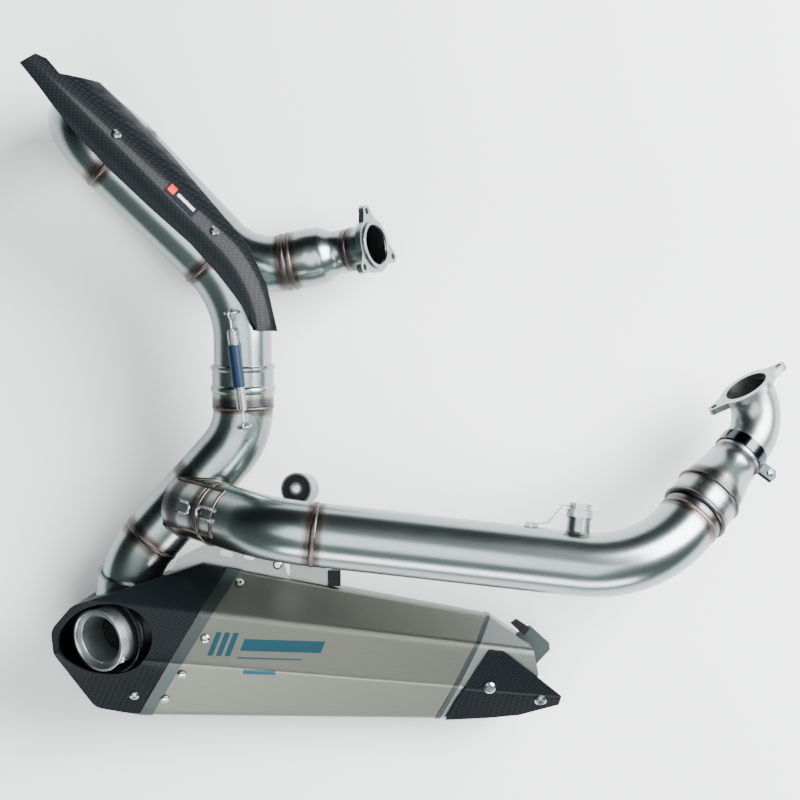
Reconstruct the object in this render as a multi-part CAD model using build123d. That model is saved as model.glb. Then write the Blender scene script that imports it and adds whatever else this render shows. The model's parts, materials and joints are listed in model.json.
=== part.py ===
"""Two-into-one exhaust system for a V-twin motorcycle, lying on its left side.

Millimetres. +X is the front of the motorcycle, +Y is its top and +Z is its right-hand side, which faces up.
Z = 0 is the surface that the muffler's flat back and the rear header rest on.
"""
from build123d import *
from math import atan2, cos, degrees, hypot, pi, radians, sin, tan
import os

os.makedirs("parts", exist_ok=True)

# ---------------------------------------------------------------- driving dimensions
REAR_TUBE_R = 29.0          # rear header tube, outside radius
FRONT_TUBE_R = 31.0         # front header's long tube
COLLECTOR_R = 30.0          # collector and branch
LINK_R = 28.0               # link pipe into the muffler
REAR_PORT_R = 22.0          # spigot at the rear cylinder's port
FRONT_PORT_R = 24.5         # cast elbow at the front cylinder's port
TUBE_WALL = 1.5
SLIP_GAP = 0.06             # radial running clearance of the slip joints
BODY_GAP = 0.4              # space between curved faces of bodies that turn
SOCKET_WALL = 1.8
BEAD_WIDTH = 4.6            # weld bead, across the seam
BEAD_HEIGHT = 0.9
LIP_HEIGHT = 1.6            # rolled lips of the slip sockets

# Centre lines: corner points of the pipe runs, then the radius at each inner corner.
REAR_PATH = [(-157, -1, 88), (-157, 106, 100), (-321, 268, 142), (-319, 304, 27.4), (-157, 134, 36),
             (-56, 152, 50)]
REAR_RADII = [112, 50, 50, 72]
REAR_PORT_END = (-25, 157, 68)
REAR_PORT_RADIUS = 40
COLLECTOR_PATH = [(-157, -3.98, 87.67), (-157, -34, 84.3), (-271, -162, 66), (-275, -199, 55)]
COLLECTOR_RADII = [70, 85]
BRANCH_PATH = [(-182, -112, 114), (-122, -125, 165.3), (-85, -129.1, 166)]
BRANCH_RADIUS = 92
FRONT_PATH = [(-85, -129.1, 166), (239, -165, 172), (368, -20, 78)]
FRONT_RADIUS = 118
FRONT_SLIP_AT = 82.0        # end of the long pipe, beyond the last corner of its path
FRONT_PORT_CENTRE = (346, 14, 90)
PORT_ELBOW_RADIUS = 40

FLANGE_THICKNESS = 6.0
EAR_R = 6.5
EAR_HOLE_R = 3.3            # clears an M6 stud
REAR_STUD_PCD = 70.0
FRONT_STUD_PCD = 76.0

# Muffler canister: two end sections (y, z) and the outline seen from above (x, y).
REAR_SECTION_X = -350.0
REAR_SECTION = [(-296, 0), (-168, 0), (-136, 22), (-136, 86), (-190, 131), (-248, 124), (-316, 78), (-316, 22)]
FRONT_SECTION_X = 175.0
FRONT_SECTION = [(-312, 0), (-248, 0), (-236, 14), (-236, 46), (-258, 74), (-300, 66), (-328, 40), (-328, 16)]
CANISTER_OUTLINE = [(-193, -163), (-322, -202), (-343, -226), (-341, -250), (-306, -309), (-262, -318),
                    (41, -325), (122, -318), (140, -277), (134, -250), (92, -221), (-174, -170)]
OUTLINE_ROUNDING = [20, 16, 16, 20, 16, 20, 20, 16, 12, 12, 20, 20]
SECTION_ROUNDING = 9.0
SLEEVE_WALL = 1.2
CAP_WALL = 2.0
REAR_SEAM = ((-174, -170), (-264, -318))     # line between end cap and sleeve, seen from above
FRONT_SEAM = ((92, -221), (41, -325))        # line between sleeve and front cap
OUTLET_CENTRE = (-298, -237, 121)
OUTLET_AXIS = (-0.53, -0.19, 0.83)
OUTLET_R = 30.0
INSERT_R = 24.0
CORE_R = 22.0
WRAP_WALL = 2.1
WRAP_INSET = 34

# Carbon shield over the rear header, outline seen from above (x, y).
SHIELD_OUTLINE = [(-362, 321), (-346, 301), (-330, 279), (-310, 254), (-279, 221), (-242, 186), (-204, 152), (-179, 124),
                  (-155, 93), (-140, 68), (-121, 68), (-131, 113), (-149, 152), (-186, 196), (-225, 242),
                  (-265, 284), (-292, 309), (-326, 313), (-338, 327), (-348, 331)]
SHIELD_ARC_R = 54.0         # radius of the shield's cross section
SHIELD_DROP = 20.0          # how far the arc's centre lies below the header's centre line
SHIELD_WALL = 1.8

# Lambda (oxygen sensor) boss on the long pipe, M18 thread.
LAMBDA_FOOT = (167, -158.5, 170.7)
LAMBDA_AXIS = (0.11, 0.994, 0.0)
LAMBDA_BOSS_R = 11.5
LAMBDA_THREAD_R = 9.0

GUARD_OUTLINE = [(90, -250), (104, -252), (141, -281), (163, -299), (161, -309), (121, -321), (90, -324),
                 (46, -326), (55, -307), (75, -273)]
PLATE_OUTLINE = [(-234, -178), (-225, -160), (-195, -145), (-170, -148), (-118, -164), (-112, -186), (-160, -182)]


# ---------------------------------------------------------------- helpers
def place(origin, direction):
    """Plane with its Z along a direction."""
    return Plane(origin=Vector(origin), z_dir=Vector(direction).normalized())


def direction_of(start, end):
    """Unit vector from one point to another."""
    return (Vector(end) - Vector(start)).normalized()


def ring_face(outer, inner):
    """Annulus, or a disc when the inner radius is 0."""
    return Circle(outer) - Circle(inner) if inner else Circle(outer)


def bar(origin, direction, length, outer, inner=0.0):
    """Straight round bar or tube."""
    return extrude(place(origin, direction) * ring_face(outer, inner), amount=length)


def lathe(origin, direction, profile):
    """Solid of revolution: profile is a closed list of (radius, distance along the axis)."""
    face = make_face(Polyline([(radius, 0, along) for radius, along in profile], close=True))
    return place(origin, direction).location * revolve(face, axis=Axis.Z)


def elbow(start, before, after, radius, outer, inner):
    """Bent tube that leaves start along one direction and ends along another."""
    normal = before.cross(after).normalized()
    centre = Vector(start) + normal.cross(before).normalized() * radius
    section = place(start, before) * ring_face(outer, inner)
    return revolve(section, axis=Axis(centre, normal), revolution_arc=before.get_angle(after))


def corner(points, index, radius):
    """Tangent points of the arc at a corner, and the directions before and after it."""
    before = direction_of(points[index - 1], points[index])
    after = direction_of(points[index], points[index + 1])
    reach = radius * tan(radians(before.get_angle(after)) / 2)
    entry = Vector(points[index]) - before * reach
    leave = Vector(points[index]) + after * reach
    return entry, leave, before, after


def tube_pieces(points, radii, outer, wall):
    """Straight runs and bends in order, as separate solids: run, bend, run, bend, ... run."""
    inner = outer - wall
    pieces = []
    at = Vector(points[0])
    for index, radius in enumerate(radii, start=1):
        entry, leave, before, after = corner(points, index, radius)
        pieces.append(bar(at, before, (entry - at).length, outer, inner))
        pieces.append(elbow(entry, before, after, radius, outer, inner))
        at = leave
    last = Vector(points[-1])
    pieces.append(bar(at, direction_of(at, last), (last - at).length, outer, inner))
    return pieces


def joined(*solids):
    """One solid out of several that touch."""
    result = solids[0]
    for piece in solids[1:]:
        result = result + piece
    return result


def bead(origin, direction, radius, width=BEAD_WIDTH, height=BEAD_HEIGHT):
    """Weld bead or rolled lip round a tube: a low ring with chamfered shoulders."""
    half = width / 2
    return lathe(origin, direction, [(radius, -half), (radius + height, -half / 2), (radius + height, half / 2),
                                     (radius, half)])


def side_of(direction, hint):
    """Unit vector across a direction, as near as possible to a hint."""
    axis = Vector(direction).normalized()
    hint = Vector(hint)
    return (hint - axis * hint.dot(axis)).normalized()


def offset_polygon(points, distance):
    """Polygon with every edge moved outwards by a distance."""
    count = len(points)
    area = sum(points[i][0] * points[(i + 1) % count][1] - points[(i + 1) % count][0] * points[i][1]
               for i in range(count))
    sign = 1 if area > 0 else -1
    moved = []
    for i in range(count):
        (ax, ay), (bx, by), (cx, cy) = points[i - 1], points[i], points[(i + 1) % count]
        first = hypot(bx - ax, by - ay)
        second = hypot(cx - bx, cy - by)
        n1 = (sign * (by - ay) / first, -sign * (bx - ax) / first)
        n2 = (sign * (cy - by) / second, -sign * (cx - bx) / second)
        scale = distance / (1 + n1[0] * n2[0] + n1[1] * n2[1])
        moved.append((bx + (n1[0] + n2[0]) * scale, by + (n1[1] + n2[1]) * scale))
    return moved


def rounded_wire(points, radii):
    """Closed planar outline with rounded corners; points are 3-D."""
    corners = [Vector(p) for p in points]
    count = len(corners)
    edges = []
    arcs = []
    for i in range(count):
        before = direction_of(corners[i - 1], corners[i])
        after = direction_of(corners[i], corners[(i + 1) % count])
        turn = radians(before.get_angle(after))
        radius = radii[i]
        reach = radius * tan(turn / 2)
        entry = corners[i] - before * reach
        leave = corners[i] + after * reach
        middle = corners[i] - (before - after).normalized() * (radius / cos(turn / 2) - radius)
        arcs.append((entry, middle, leave))
    for i in range(count):
        entry, middle, leave = arcs[i]
        edges.append(ThreePointArc(entry, middle, leave))
        edges.append(Line(leave, arcs[(i + 1) % count][0]))
    return Wire(edges)


def prism(points, low, high):
    """Upright prism over an outline seen from above."""
    face = make_face(Polyline([(x, y, low) for x, y in points], close=True))
    return extrude(face, amount=high - low, dir=(0, 0, 1))


def canister_loft(grow):
    """The muffler's faceted form before its ends are shaped, grown or shrunk by a distance."""
    wires = []
    for at, section in ((REAR_SECTION_X, REAR_SECTION), (FRONT_SECTION_X, FRONT_SECTION)):
        outline = offset_polygon(section, grow)
        wires.append(rounded_wire([(at, y, z) for y, z in outline], [SECTION_ROUNDING + grow] * len(outline)))
    return loft([make_face(wire) for wire in wires], ruled=True)


def canister(grow):
    """The muffler's outer form, grown or shrunk by a distance."""
    body = canister_loft(grow)
    outline = offset_polygon(CANISTER_OUTLINE, grow)
    radii = [radius + grow for radius in OUTLINE_ROUNDING]
    plan = make_face(rounded_wire([(x, y, -10) for x, y in outline], radii))
    return body & extrude(plan, amount=200, dir=(0, 0, 1))


def band_between(line, start, end, reach=400):
    """Slab with upright walls parallel to a line seen from above, from start to end along +X across it."""
    a, b = Vector(*line[0], 0), Vector(*line[1], 0)
    along = (a - b).normalized()
    across = Vector(along.Y, -along.X, 0)
    middle = (a + b) * 0.5
    points = [middle + across * start + along * reach, middle + across * end + along * reach,
              middle + across * end - along * reach, middle + across * start - along * reach]
    return prism([(p.X, p.Y) for p in points], -20, 200)


def eared_plate(origin, normal, up, thickness, body_r, bore_r, ears, pcd):
    """Flange with rounded ears: ears is a list of angles from the up direction."""
    plane = Plane(origin=Vector(origin), x_dir=side_of(normal, up), z_dir=Vector(normal).normalized())
    outline = Circle(body_r)
    for angle in ears:
        tip = Vector(pcd / 2 * cos(radians(angle)), pcd / 2 * sin(radians(angle)), 0)
        across = Vector(-sin(radians(angle)), cos(radians(angle)), 0)
        root = tip.normalized() * (body_r * 0.55)
        wide = body_r * 0.62
        arm = Polyline([root + across * wide, tip + across * EAR_R, tip - across * EAR_R, root - across * wide],
                       close=True)
        outline += make_face(arm)
        outline += Pos(tip.X, tip.Y) * Circle(EAR_R)
    holes = Circle(bore_r)
    for angle in ears:
        holes += Pos(pcd / 2 * cos(radians(angle)), pcd / 2 * sin(radians(angle))) * Circle(EAR_HOLE_R)
    return extrude(plane * (outline - holes), amount=thickness)


def button_screw(origin, direction, head_r, head_h, shank_r, shank_length):
    """Button-head screw seated at origin, head pointing along the direction, with a hexagon socket."""
    head = [(0, 0), (head_r, 0), (head_r * 0.93, head_h * 0.55), (head_r * 0.6, head_h), (0, head_h)]
    body = lathe(origin, direction, head) + bar(origin, Vector(direction) * -1, shank_length, shank_r)
    socket_origin = Vector(origin) + Vector(direction).normalized() * head_h * 0.35
    socket = extrude(place(socket_origin, direction) * RegularPolygon(head_r * 0.42, 6), amount=head_h)
    return body - socket


def surface_point(solid, x, y):
    """Highest point of a solid above a place, found with a thin upright probe."""
    probe = Pos(x, y, 0) * Box(0.4, 0.4, 500) & solid
    return probe.bounding_box().max.Z


def facet_normal(solid, x, y, step=5.0):
    """Outward normal of a solid's upper surface at a place."""
    slope_x = (surface_point(solid, x + step, y) - surface_point(solid, x - step, y)) / (2 * step)
    slope_y = (surface_point(solid, x, y + step) - surface_point(solid, x, y - step)) / (2 * step)
    return Vector(-slope_x, -slope_y, 1).normalized()


nodes = {}

# ---------------------------------------------------------------- rear header
rear = tube_pieces(REAR_PATH, REAR_RADII, REAR_TUBE_R, TUBE_WALL)
slip_run, slip_bend, front_leg, u_front, u_middle, u_back, back_leg, port_bend, port_run = rear
nodes["rear_down_pipe"] = joined(slip_run, slip_bend)
nodes["rear_front_leg"] = front_leg
nodes["rear_u_bend"] = joined(u_front, u_middle, u_back)
nodes["rear_back_leg"] = joined(back_leg, port_bend)

port_entry, port_leave, port_before, port_after = corner(REAR_PATH, 4, REAR_RADII[3])
PORT_RUN = 12.0             # straight tube between the port bend and the cone
port_seam = port_leave + port_after * PORT_RUN
port_path = [REAR_PATH[-2], REAR_PATH[-1], REAR_PORT_END]
spigot_entry, spigot_leave, spigot_before, spigot_after = corner(port_path, 1, REAR_PORT_RADIUS)
cone_length = (spigot_entry - port_seam).length
cone_profile = [(REAR_TUBE_R, -PORT_RUN), (REAR_TUBE_R, 0), (REAR_TUBE_R + 1, cone_length * 0.35), (REAR_TUBE_R, cone_length * 0.6),
                (REAR_PORT_R, cone_length), (REAR_PORT_R - TUBE_WALL, cone_length),
                (REAR_TUBE_R - TUBE_WALL, cone_length * 0.6), (REAR_TUBE_R - TUBE_WALL, -PORT_RUN)]
nodes["rear_port_cone"] = lathe(port_seam, port_after, cone_profile)
spigot_end = Vector(REAR_PORT_END)
spigot_tube_length = (spigot_end - spigot_leave).length
spigot = joined(elbow(spigot_entry, spigot_before, spigot_after, REAR_PORT_RADIUS, REAR_PORT_R,
                      REAR_PORT_R - TUBE_WALL),
                bar(spigot_leave, spigot_after, spigot_tube_length, REAR_PORT_R, REAR_PORT_R - TUBE_WALL))
SPIGOT_LIP = 2.2
spigot_lip = bar(spigot_end, spigot_after, 2.0, REAR_PORT_R + SPIGOT_LIP, REAR_PORT_R - TUBE_WALL)
nodes["rear_port_spigot"] = joined(spigot, spigot_lip)
rear_flange_seat = spigot_end - spigot_after * (FLANGE_THICKNESS + 0.3)
nodes["rear_flange"] = eared_plate(rear_flange_seat, spigot_after, (0, 1, 0), FLANGE_THICKNESS, 28.0,
                                   REAR_PORT_R + SLIP_GAP, [14, 134, 254], REAR_STUD_PCD)

leg_entry, leg_leave, leg_before, leg_after = corner(REAR_PATH, 1, REAR_RADII[0])
u_entry, u_leave, u_before, u_after = corner(REAR_PATH, 2, REAR_RADII[1])
back_entry, back_leave, back_before, back_after = corner(REAR_PATH, 3, REAR_RADII[2])
rear_seams = [(leg_leave + leg_after * 1.0, leg_after), (u_entry - leg_after * 3.0, leg_after),
              (back_leave + back_after * 3.0, back_after), (port_leave + port_after * 3.0, port_after),
              (port_seam - port_after * 2.4, port_after)]
rear_beads = [bead(at, way, REAR_TUBE_R) for at, way in rear_seams]
rear_beads.append(bead(spigot_leave + spigot_after * 3.0, spigot_after, REAR_PORT_R, 3.6, 0.8))
nodes["rear_weld_beads"] = Compound(children=rear_beads)

# ---------------------------------------------------------------- carbon heat shield
leg_axis = leg_after
leg_side = side_of(leg_axis, (1, 1, 0))
leg_up = leg_axis.cross(leg_side).normalized()
leg_up = leg_up if leg_up.Z > 0 else leg_up * -1


def shield_arc_face(origin, axis, side, up):
    """Cross section of the shield: part of a ring that covers the header's upper and outer sides."""
    centre = Vector(origin) - up * SHIELD_DROP
    plane = Plane(origin=centre, x_dir=side, z_dir=side.cross(up))
    ring = Circle(SHIELD_ARC_R) - Circle(SHIELD_ARC_R - SHIELD_WALL)
    keep = make_face(Polyline([(0, 0), (160, -22), (160, 160), (-12, 160)], close=True))
    return plane * (ring & keep)


shield_start = leg_leave
straight_shield = extrude(shield_arc_face(shield_start, leg_axis, leg_side, leg_up), amount=300, dir=leg_axis)
bend_normal = leg_before.cross(leg_after).normalized()
bend_centre = leg_entry + bend_normal.cross(leg_before).normalized() * REAR_RADII[0]
bent_shield = revolve(shield_arc_face(shield_start, leg_axis, leg_side, leg_up),
                      axis=Axis(bend_centre, bend_normal * -1), revolution_arc=leg_before.get_angle(leg_after))
shield_plan = prism(SHIELD_OUTLINE, 20, 260)
shield_shell = joined(straight_shield, bent_shield) & shield_plan
nodes["heat_shield"] = shield_shell

SHIELD_STUD_R = 4.0
shield_posts = []
shield_screws = []
for along, spread in ((18, 48), (150, 48)):
    foot = shield_start + leg_axis * along
    lean = (leg_side * cos(radians(spread)) + leg_up * sin(radians(spread))).normalized()
    drop = leg_up * -SHIELD_DROP
    across = drop.dot(lean)
    reach = across + (across * across - SHIELD_DROP ** 2 + (SHIELD_ARC_R - SHIELD_WALL) ** 2) ** 0.5
    post_foot = foot + lean * (REAR_TUBE_R - 0.4)
    post = bar(post_foot, lean, reach - REAR_TUBE_R + 1.0, SHIELD_STUD_R) - bar(post_foot, lean, 60, 1.6)
    post = post - nodes["heat_shield"] - nodes["rear_front_leg"] - nodes["rear_u_bend"]
    shield_posts.append(post.solids().sort_by(SortBy.VOLUME)[-1])
    seat = foot + lean * (reach + SHIELD_WALL + 0.2)
    shield_screws.append(button_screw(seat, lean, 5.0, 2.6, 1.5, 7.0))
nodes["shield_posts"] = Compound(children=shield_posts)
nodes["shield_screws"] = Compound(children=shield_screws)
for screw in shield_screws:
    nodes["heat_shield"] = nodes["heat_shield"] - screw
nodes["heat_shield"] = nodes["heat_shield"].solids().sort_by(SortBy.VOLUME)[-1]

# ---------------------------------------------------------------- slip joint and collector
slip_axis = direction_of(REAR_PATH[0], REAR_PATH[1])
slip_foot = Vector(REAR_PATH[0])
SOCKET_LOW = -3.0           # socket ends, measured along the slip axis from the header's end
SOCKET_HIGH = 37.0
socket_in = REAR_TUBE_R + SLIP_GAP
socket_out = socket_in + SOCKET_WALL
nodes["slip_socket"] = lathe(slip_foot, slip_axis, [
    (socket_in, SOCKET_LOW), (socket_out, SOCKET_LOW), (socket_out, 9), (socket_out + LIP_HEIGHT, 11),
    (socket_out + LIP_HEIGHT, 15), (socket_out, 17), (socket_out, 31), (socket_out + LIP_HEIGHT, 33),
    (socket_out + LIP_HEIGHT, 36), (socket_out, SOCKET_HIGH), (socket_in, SOCKET_HIGH)])

branch_axis = direction_of(BRANCH_PATH[0], BRANCH_PATH[1])
branch_mouth = Vector(BRANCH_PATH[0])
BRANCH_REACH = 52.0         # from inside the collector to the branch's mouth
SPIGOT_LENGTH = 24.0
spigot_r = FRONT_TUBE_R - TUBE_WALL - SLIP_GAP
collector = tube_pieces(COLLECTOR_PATH, COLLECTOR_RADII, COLLECTOR_R, TUBE_WALL)
top_run, top_bend, slant_run, low_bend, link_run = collector
slant_axis = direction_of(COLLECTOR_PATH[1], COLLECTOR_PATH[2])
collector_core = bar(Vector(COLLECTOR_PATH[1]) - slant_axis * 40, slant_axis, 250, COLLECTOR_R)
branch_foot = branch_mouth - branch_axis * BRANCH_REACH
branch_wall = bar(branch_foot, branch_axis, BRANCH_REACH, FRONT_TUBE_R, spigot_r - TUBE_WALL) - collector_core
branch_wall = branch_wall.solids().sort_by(Axis.Z)[-1]
branch_spigot = bar(branch_mouth, branch_axis, SPIGOT_LENGTH, spigot_r, spigot_r - TUBE_WALL)
nodes["collector_branch"] = joined(branch_wall, branch_spigot)
branch_hole = bar(branch_mouth - branch_axis * 40, branch_axis, 60, spigot_r - TUBE_WALL - 2)
nodes["collector_pipe"] = joined(top_run, top_bend, slant_run) - branch_hole
nodes["link_pipe"] = joined(low_bend, link_run)
low_entry, low_leave, low_before, low_after = corner(COLLECTOR_PATH, 2, COLLECTOR_RADII[1])
nodes["collector_beads"] = Compound(children=[
    bead(slip_foot + slip_axis * (SOCKET_LOW - 2.4), slip_axis, COLLECTOR_R, 4.0, 1.2),
    bead(low_entry - low_before * 2.6, low_before, COLLECTOR_R)])

# ---------------------------------------------------------------- front pipe
front_runs = tube_pieces(BRANCH_PATH, [BRANCH_RADIUS], FRONT_TUBE_R, TUBE_WALL)
branch_clear = 0.5          # gap between the branch's shoulder and the front elbow's end
nodes["front_elbow"] = joined(*front_runs) - bar(branch_mouth, branch_axis, branch_clear, FRONT_TUBE_R + 1)
front_axis = direction_of(FRONT_PATH[1], FRONT_PATH[2])
front_corner = Vector(FRONT_PATH[1])
front_end = front_corner + front_axis * FRONT_SLIP_AT
long_run, front_bend, front_tail = tube_pieces([FRONT_PATH[0], FRONT_PATH[1], front_end], [FRONT_RADIUS],
                                               FRONT_TUBE_R, TUBE_WALL)
lambda_axis = Vector(LAMBDA_AXIS).normalized()
lambda_foot = Vector(LAMBDA_FOOT)
lambda_hole = bar(lambda_foot, lambda_axis, 60, LAMBDA_THREAD_R + 0.5)
nodes["front_long_pipe"] = joined(long_run, front_bend, front_tail) - lambda_hole
bend_entry, bend_leave, bend_before, bend_after = corner([FRONT_PATH[0], FRONT_PATH[1], front_end], 1, FRONT_RADIUS)
nodes["front_weld_beads"] = Compound(children=[
    bead(branch_mouth + branch_axis * 3.2, branch_axis, FRONT_TUBE_R, 4.0, 1.4),
    bead(Vector(FRONT_PATH[0]) + bend_before * 2.6, bend_before, FRONT_TUBE_R),
    bead(bend_leave + bend_after * 2.6, bend_after, FRONT_TUBE_R)])
FRONT_SOCKET_LENGTH = 30.0
front_in = FRONT_TUBE_R + SLIP_GAP
front_out = front_in + SOCKET_WALL
socket_start = front_end - front_axis * 3.0
nodes["front_slip_socket"] = lathe(socket_start, front_axis, [
    (FRONT_TUBE_R, 0), (front_out, 0), (front_out + LIP_HEIGHT, 1.5), (front_out + LIP_HEIGHT, 4.5), (front_out, 6),
    (front_out, 25), (front_out + LIP_HEIGHT, 26.5), (front_out + LIP_HEIGHT, 29), (front_out, FRONT_SOCKET_LENGTH),
    (front_in, FRONT_SOCKET_LENGTH), (front_in, 3.0), (FRONT_TUBE_R, 3.0)])

# Lambda boss, its plug with a hexagon, and the lockwire that keeps the plug from turning.
boss_ring = bar(lambda_foot, lambda_axis, 45, LAMBDA_BOSS_R, LAMBDA_THREAD_R) - bar(
    Vector(FRONT_PATH[0]), bend_before, 500, FRONT_TUBE_R)
nodes["lambda_boss"] = boss_ring.solids().sort_by(Axis.Y)[-1]
boss_top = lambda_foot + lambda_axis * 45
WASHER_HEIGHT = 1.6
nodes["lambda_washer"] = bar(boss_top, lambda_axis, WASHER_HEIGHT, 12.5, LAMBDA_THREAD_R + 0.3)
plug_seat = boss_top + lambda_axis * WASHER_HEIGHT
plug_hex = extrude(place(plug_seat, lambda_axis) * RegularPolygon(12.6, 6), amount=7.0)
plug_cap = extrude(place(plug_seat + lambda_axis * 7.0, lambda_axis) * RegularPolygon(10.4, 6), amount=6.0)
plug_shank = bar(plug_seat - lambda_axis * 16.0, lambda_axis, 16.0, LAMBDA_THREAD_R - 0.3)
nodes["lambda_plug"] = joined(plug_hex, plug_cap, plug_shank)
lug_at = lambda_foot + bend_before * -45 + lambda_axis * (FRONT_TUBE_R - 0.3)
lug_plane = Plane(origin=lug_at, x_dir=bend_before, z_dir=Vector(0, 0, 1))
lug_face = make_face(Polyline([(-9, -0.5), (9, -0.5), (5, 6), (-5, 6)], close=True)) - Pos(0, 3) * Circle(1.6)
long_core = bar(Vector(FRONT_PATH[0]), bend_before, 320, FRONT_TUBE_R)
nodes["lockwire_lug"] = extrude(lug_plane * lug_face, amount=2.0) - long_core
wire_from = plug_seat + lambda_axis * 9.0 + bend_before * -10.6
wire_to = lug_at + lambda_axis * 3.0 + Vector(0, 0, -0.4)
wire_path = [wire_from, wire_from + bend_before * -6 + lambda_axis * 0.5, wire_to + bend_before * 16 + lambda_axis * 4,
             wire_to + Vector(0, 0, 0.2)]
WIRE_R = 0.7
wire = tube_pieces(wire_path, [3.0, 12.0], WIRE_R, WIRE_R)
nodes["lockwire"] = joined(*wire)
nodes["lockwire_lug"] = nodes["lockwire_lug"] - bar(wire_to, bend_before, 12, WIRE_R + 0.4)
nodes["lockwire_lug"] = nodes["lockwire_lug"].solids().sort_by(SortBy.VOLUME)[-1] - nodes["lockwire"]

# ---------------------------------------------------------------- front port header
plug_start = front_end + front_axis * 1.5
CONE_START = 31.0           # measured along the front axis from the long pipe's end
CONE_END = 76.0
cone_from = front_end + front_axis * CONE_START
header_tube = bar(plug_start, front_axis, CONE_START - 1.5, FRONT_TUBE_R, FRONT_TUBE_R - TUBE_WALL)
cone_span = CONE_END - CONE_START
nodes["front_cone"] = joined(header_tube, lathe(cone_from, front_axis, [
    (FRONT_TUBE_R, 0), (FRONT_PORT_R + 1.2, cone_span * 0.8), (FRONT_PORT_R, cone_span),
    (FRONT_PORT_R - TUBE_WALL, cone_span), (FRONT_TUBE_R - TUBE_WALL, 0)]))
elbow_start = front_end + front_axis * CONE_END
port_path = [elbow_start, FRONT_PATH[2], FRONT_PORT_CENTRE]
front_port_axis = direction_of(FRONT_PATH[2], FRONT_PORT_CENTRE)
front_port_centre = Vector(FRONT_PORT_CENTRE)
port_end = front_port_centre - front_port_axis * FLANGE_THICKNESS
port_run_in, port_curve, port_run_out = tube_pieces([elbow_start, FRONT_PATH[2], port_end], [PORT_ELBOW_RADIUS - 1],
                                                    FRONT_PORT_R, 2.2)
nodes["front_port_elbow"] = joined(port_run_in, port_curve, port_run_out)
front_flange_up = (0.87, 0.49, 0.0)
nodes["front_flange"] = eared_plate(port_end, front_port_axis, front_flange_up, FLANGE_THICKNESS, 29.0,
                                    FRONT_PORT_R - 2.2, [0, 180], FRONT_STUD_PCD)
BAND_WIDTH = 12.0
band_at = elbow_start + front_axis * 4
band_ring = bar(band_at, front_axis, BAND_WIDTH, FRONT_PORT_R + 1.6, FRONT_PORT_R)
ear_side = side_of(front_axis, (1, -0.8, 0.2))
ear_normal = front_axis.cross(ear_side).normalized()
ear_normal = ear_normal if ear_normal.Z > 0 else ear_normal * -1
ear_plane = Plane(origin=band_at + ear_side * (FRONT_PORT_R + 0.9), x_dir=ear_side, z_dir=ear_normal)
ear_width = BAND_WIDTH if ear_plane.y_dir.dot(front_axis) > 0 else -BAND_WIDTH
ear_face = make_face(Polyline([(-1, 0), (15, 0), (17, ear_width * 0.5), (13, ear_width), (-1, ear_width)],
                              close=True))
ear_hole = Pos(9.5, ear_width * 0.5) * Circle(2.4)
ear_upper = extrude(ear_plane * (ear_face - ear_hole), amount=2.0)
ear_lower = extrude(ear_plane.offset(-5.0) * (ear_face - ear_hole), amount=2.0)
nodes["clamp_band"] = joined(band_ring, ear_upper, ear_lower) - bar(band_at, front_axis, BAND_WIDTH, FRONT_PORT_R)
screw_seat = ear_plane.from_local_coords(Vector(9.5, ear_width * 0.5, 2.0))
nodes["clamp_screw"] = button_screw(screw_seat, ear_normal, 3.7, 2.2, 2.0, 9.0)

# ---------------------------------------------------------------- spring lugs, hooks and spring
LUG_WIRE_R = 1.6
LUG_ARCH_R = 6.0
LUG_LEG = 5.0               # straight legs that lift the arch clear of the slip socket
HOOK_WIRE_R = 0.9
HOOK_R = 4.0
HOOK_PLAY = 1.2             # how far the hook sits off the middle of the lug's wire, towards the spring


def lug(surface, normal, along, leg):
    """Arch of wire on two straight legs, standing on a surface across the spring's direction."""
    up = Vector(normal).normalized()
    across = Vector(along).cross(up).normalized()
    top = Vector(surface) + up * leg
    section = Plane(origin=top + across * LUG_ARCH_R, x_dir=across, z_dir=up) * Circle(LUG_WIRE_R)
    arch = revolve(section, axis=Axis(top, across.cross(up) * -1), revolution_arc=180)
    if arch.center().dot(up) < top.dot(up):
        arch = revolve(section, axis=Axis(top, across.cross(up)), revolution_arc=180)
    legs = [bar(top + across * LUG_ARCH_R * side, up * -1, leg + 4, LUG_WIRE_R) for side in (-1, 1)]
    return joined(arch, *legs)


def surface_on(shell, x, y):
    """Point of a solid's upper surface above a place."""
    return Vector(x, y, surface_point(shell, x, y))


upper_spot = surface_on(nodes["rear_down_pipe"], -164, 86)
upper_normal = (upper_spot - slip_foot - slip_axis * (upper_spot - slip_foot).dot(slip_axis)).normalized()
lower_spot = surface_on(top_bend, -154, -26)
lower_normal = Vector(0.12, -0.1, 1).normalized()
spring_chord = direction_of(upper_spot, lower_spot)
upper_pad = bar(upper_spot - upper_normal * 4, upper_normal, 8, 9.0) & bar(
    slip_foot + slip_axis * 60, slip_axis, 46, REAR_TUBE_R + 0.9, REAR_TUBE_R)
top_entry, top_leave, top_before, top_after = corner(COLLECTOR_PATH, 1, COLLECTOR_RADII[0])
lower_shell = elbow(top_entry, top_before, top_after, COLLECTOR_RADII[0], COLLECTOR_R + 0.9, COLLECTOR_R)
lower_pad = bar(lower_spot - lower_normal * 6, lower_normal, 12, 13.0) & lower_shell
upper_along = side_of(upper_normal, spring_chord)
lower_along = side_of(lower_normal, spring_chord)
header_core = bar(slip_foot + slip_axis * 40, slip_axis, 80, REAR_TUBE_R)
nodes["upper_spring_lug"] = joined(upper_pad, lug(upper_spot, upper_normal, upper_along, LUG_LEG) - header_core)
lower_solid = elbow(top_entry, top_before, top_after, COLLECTOR_RADII[0], COLLECTOR_R, 0)
nodes["lower_spring_lug"] = joined(lower_pad, lug(lower_spot, lower_normal, lower_along, LUG_LEG) - lower_solid)

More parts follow.
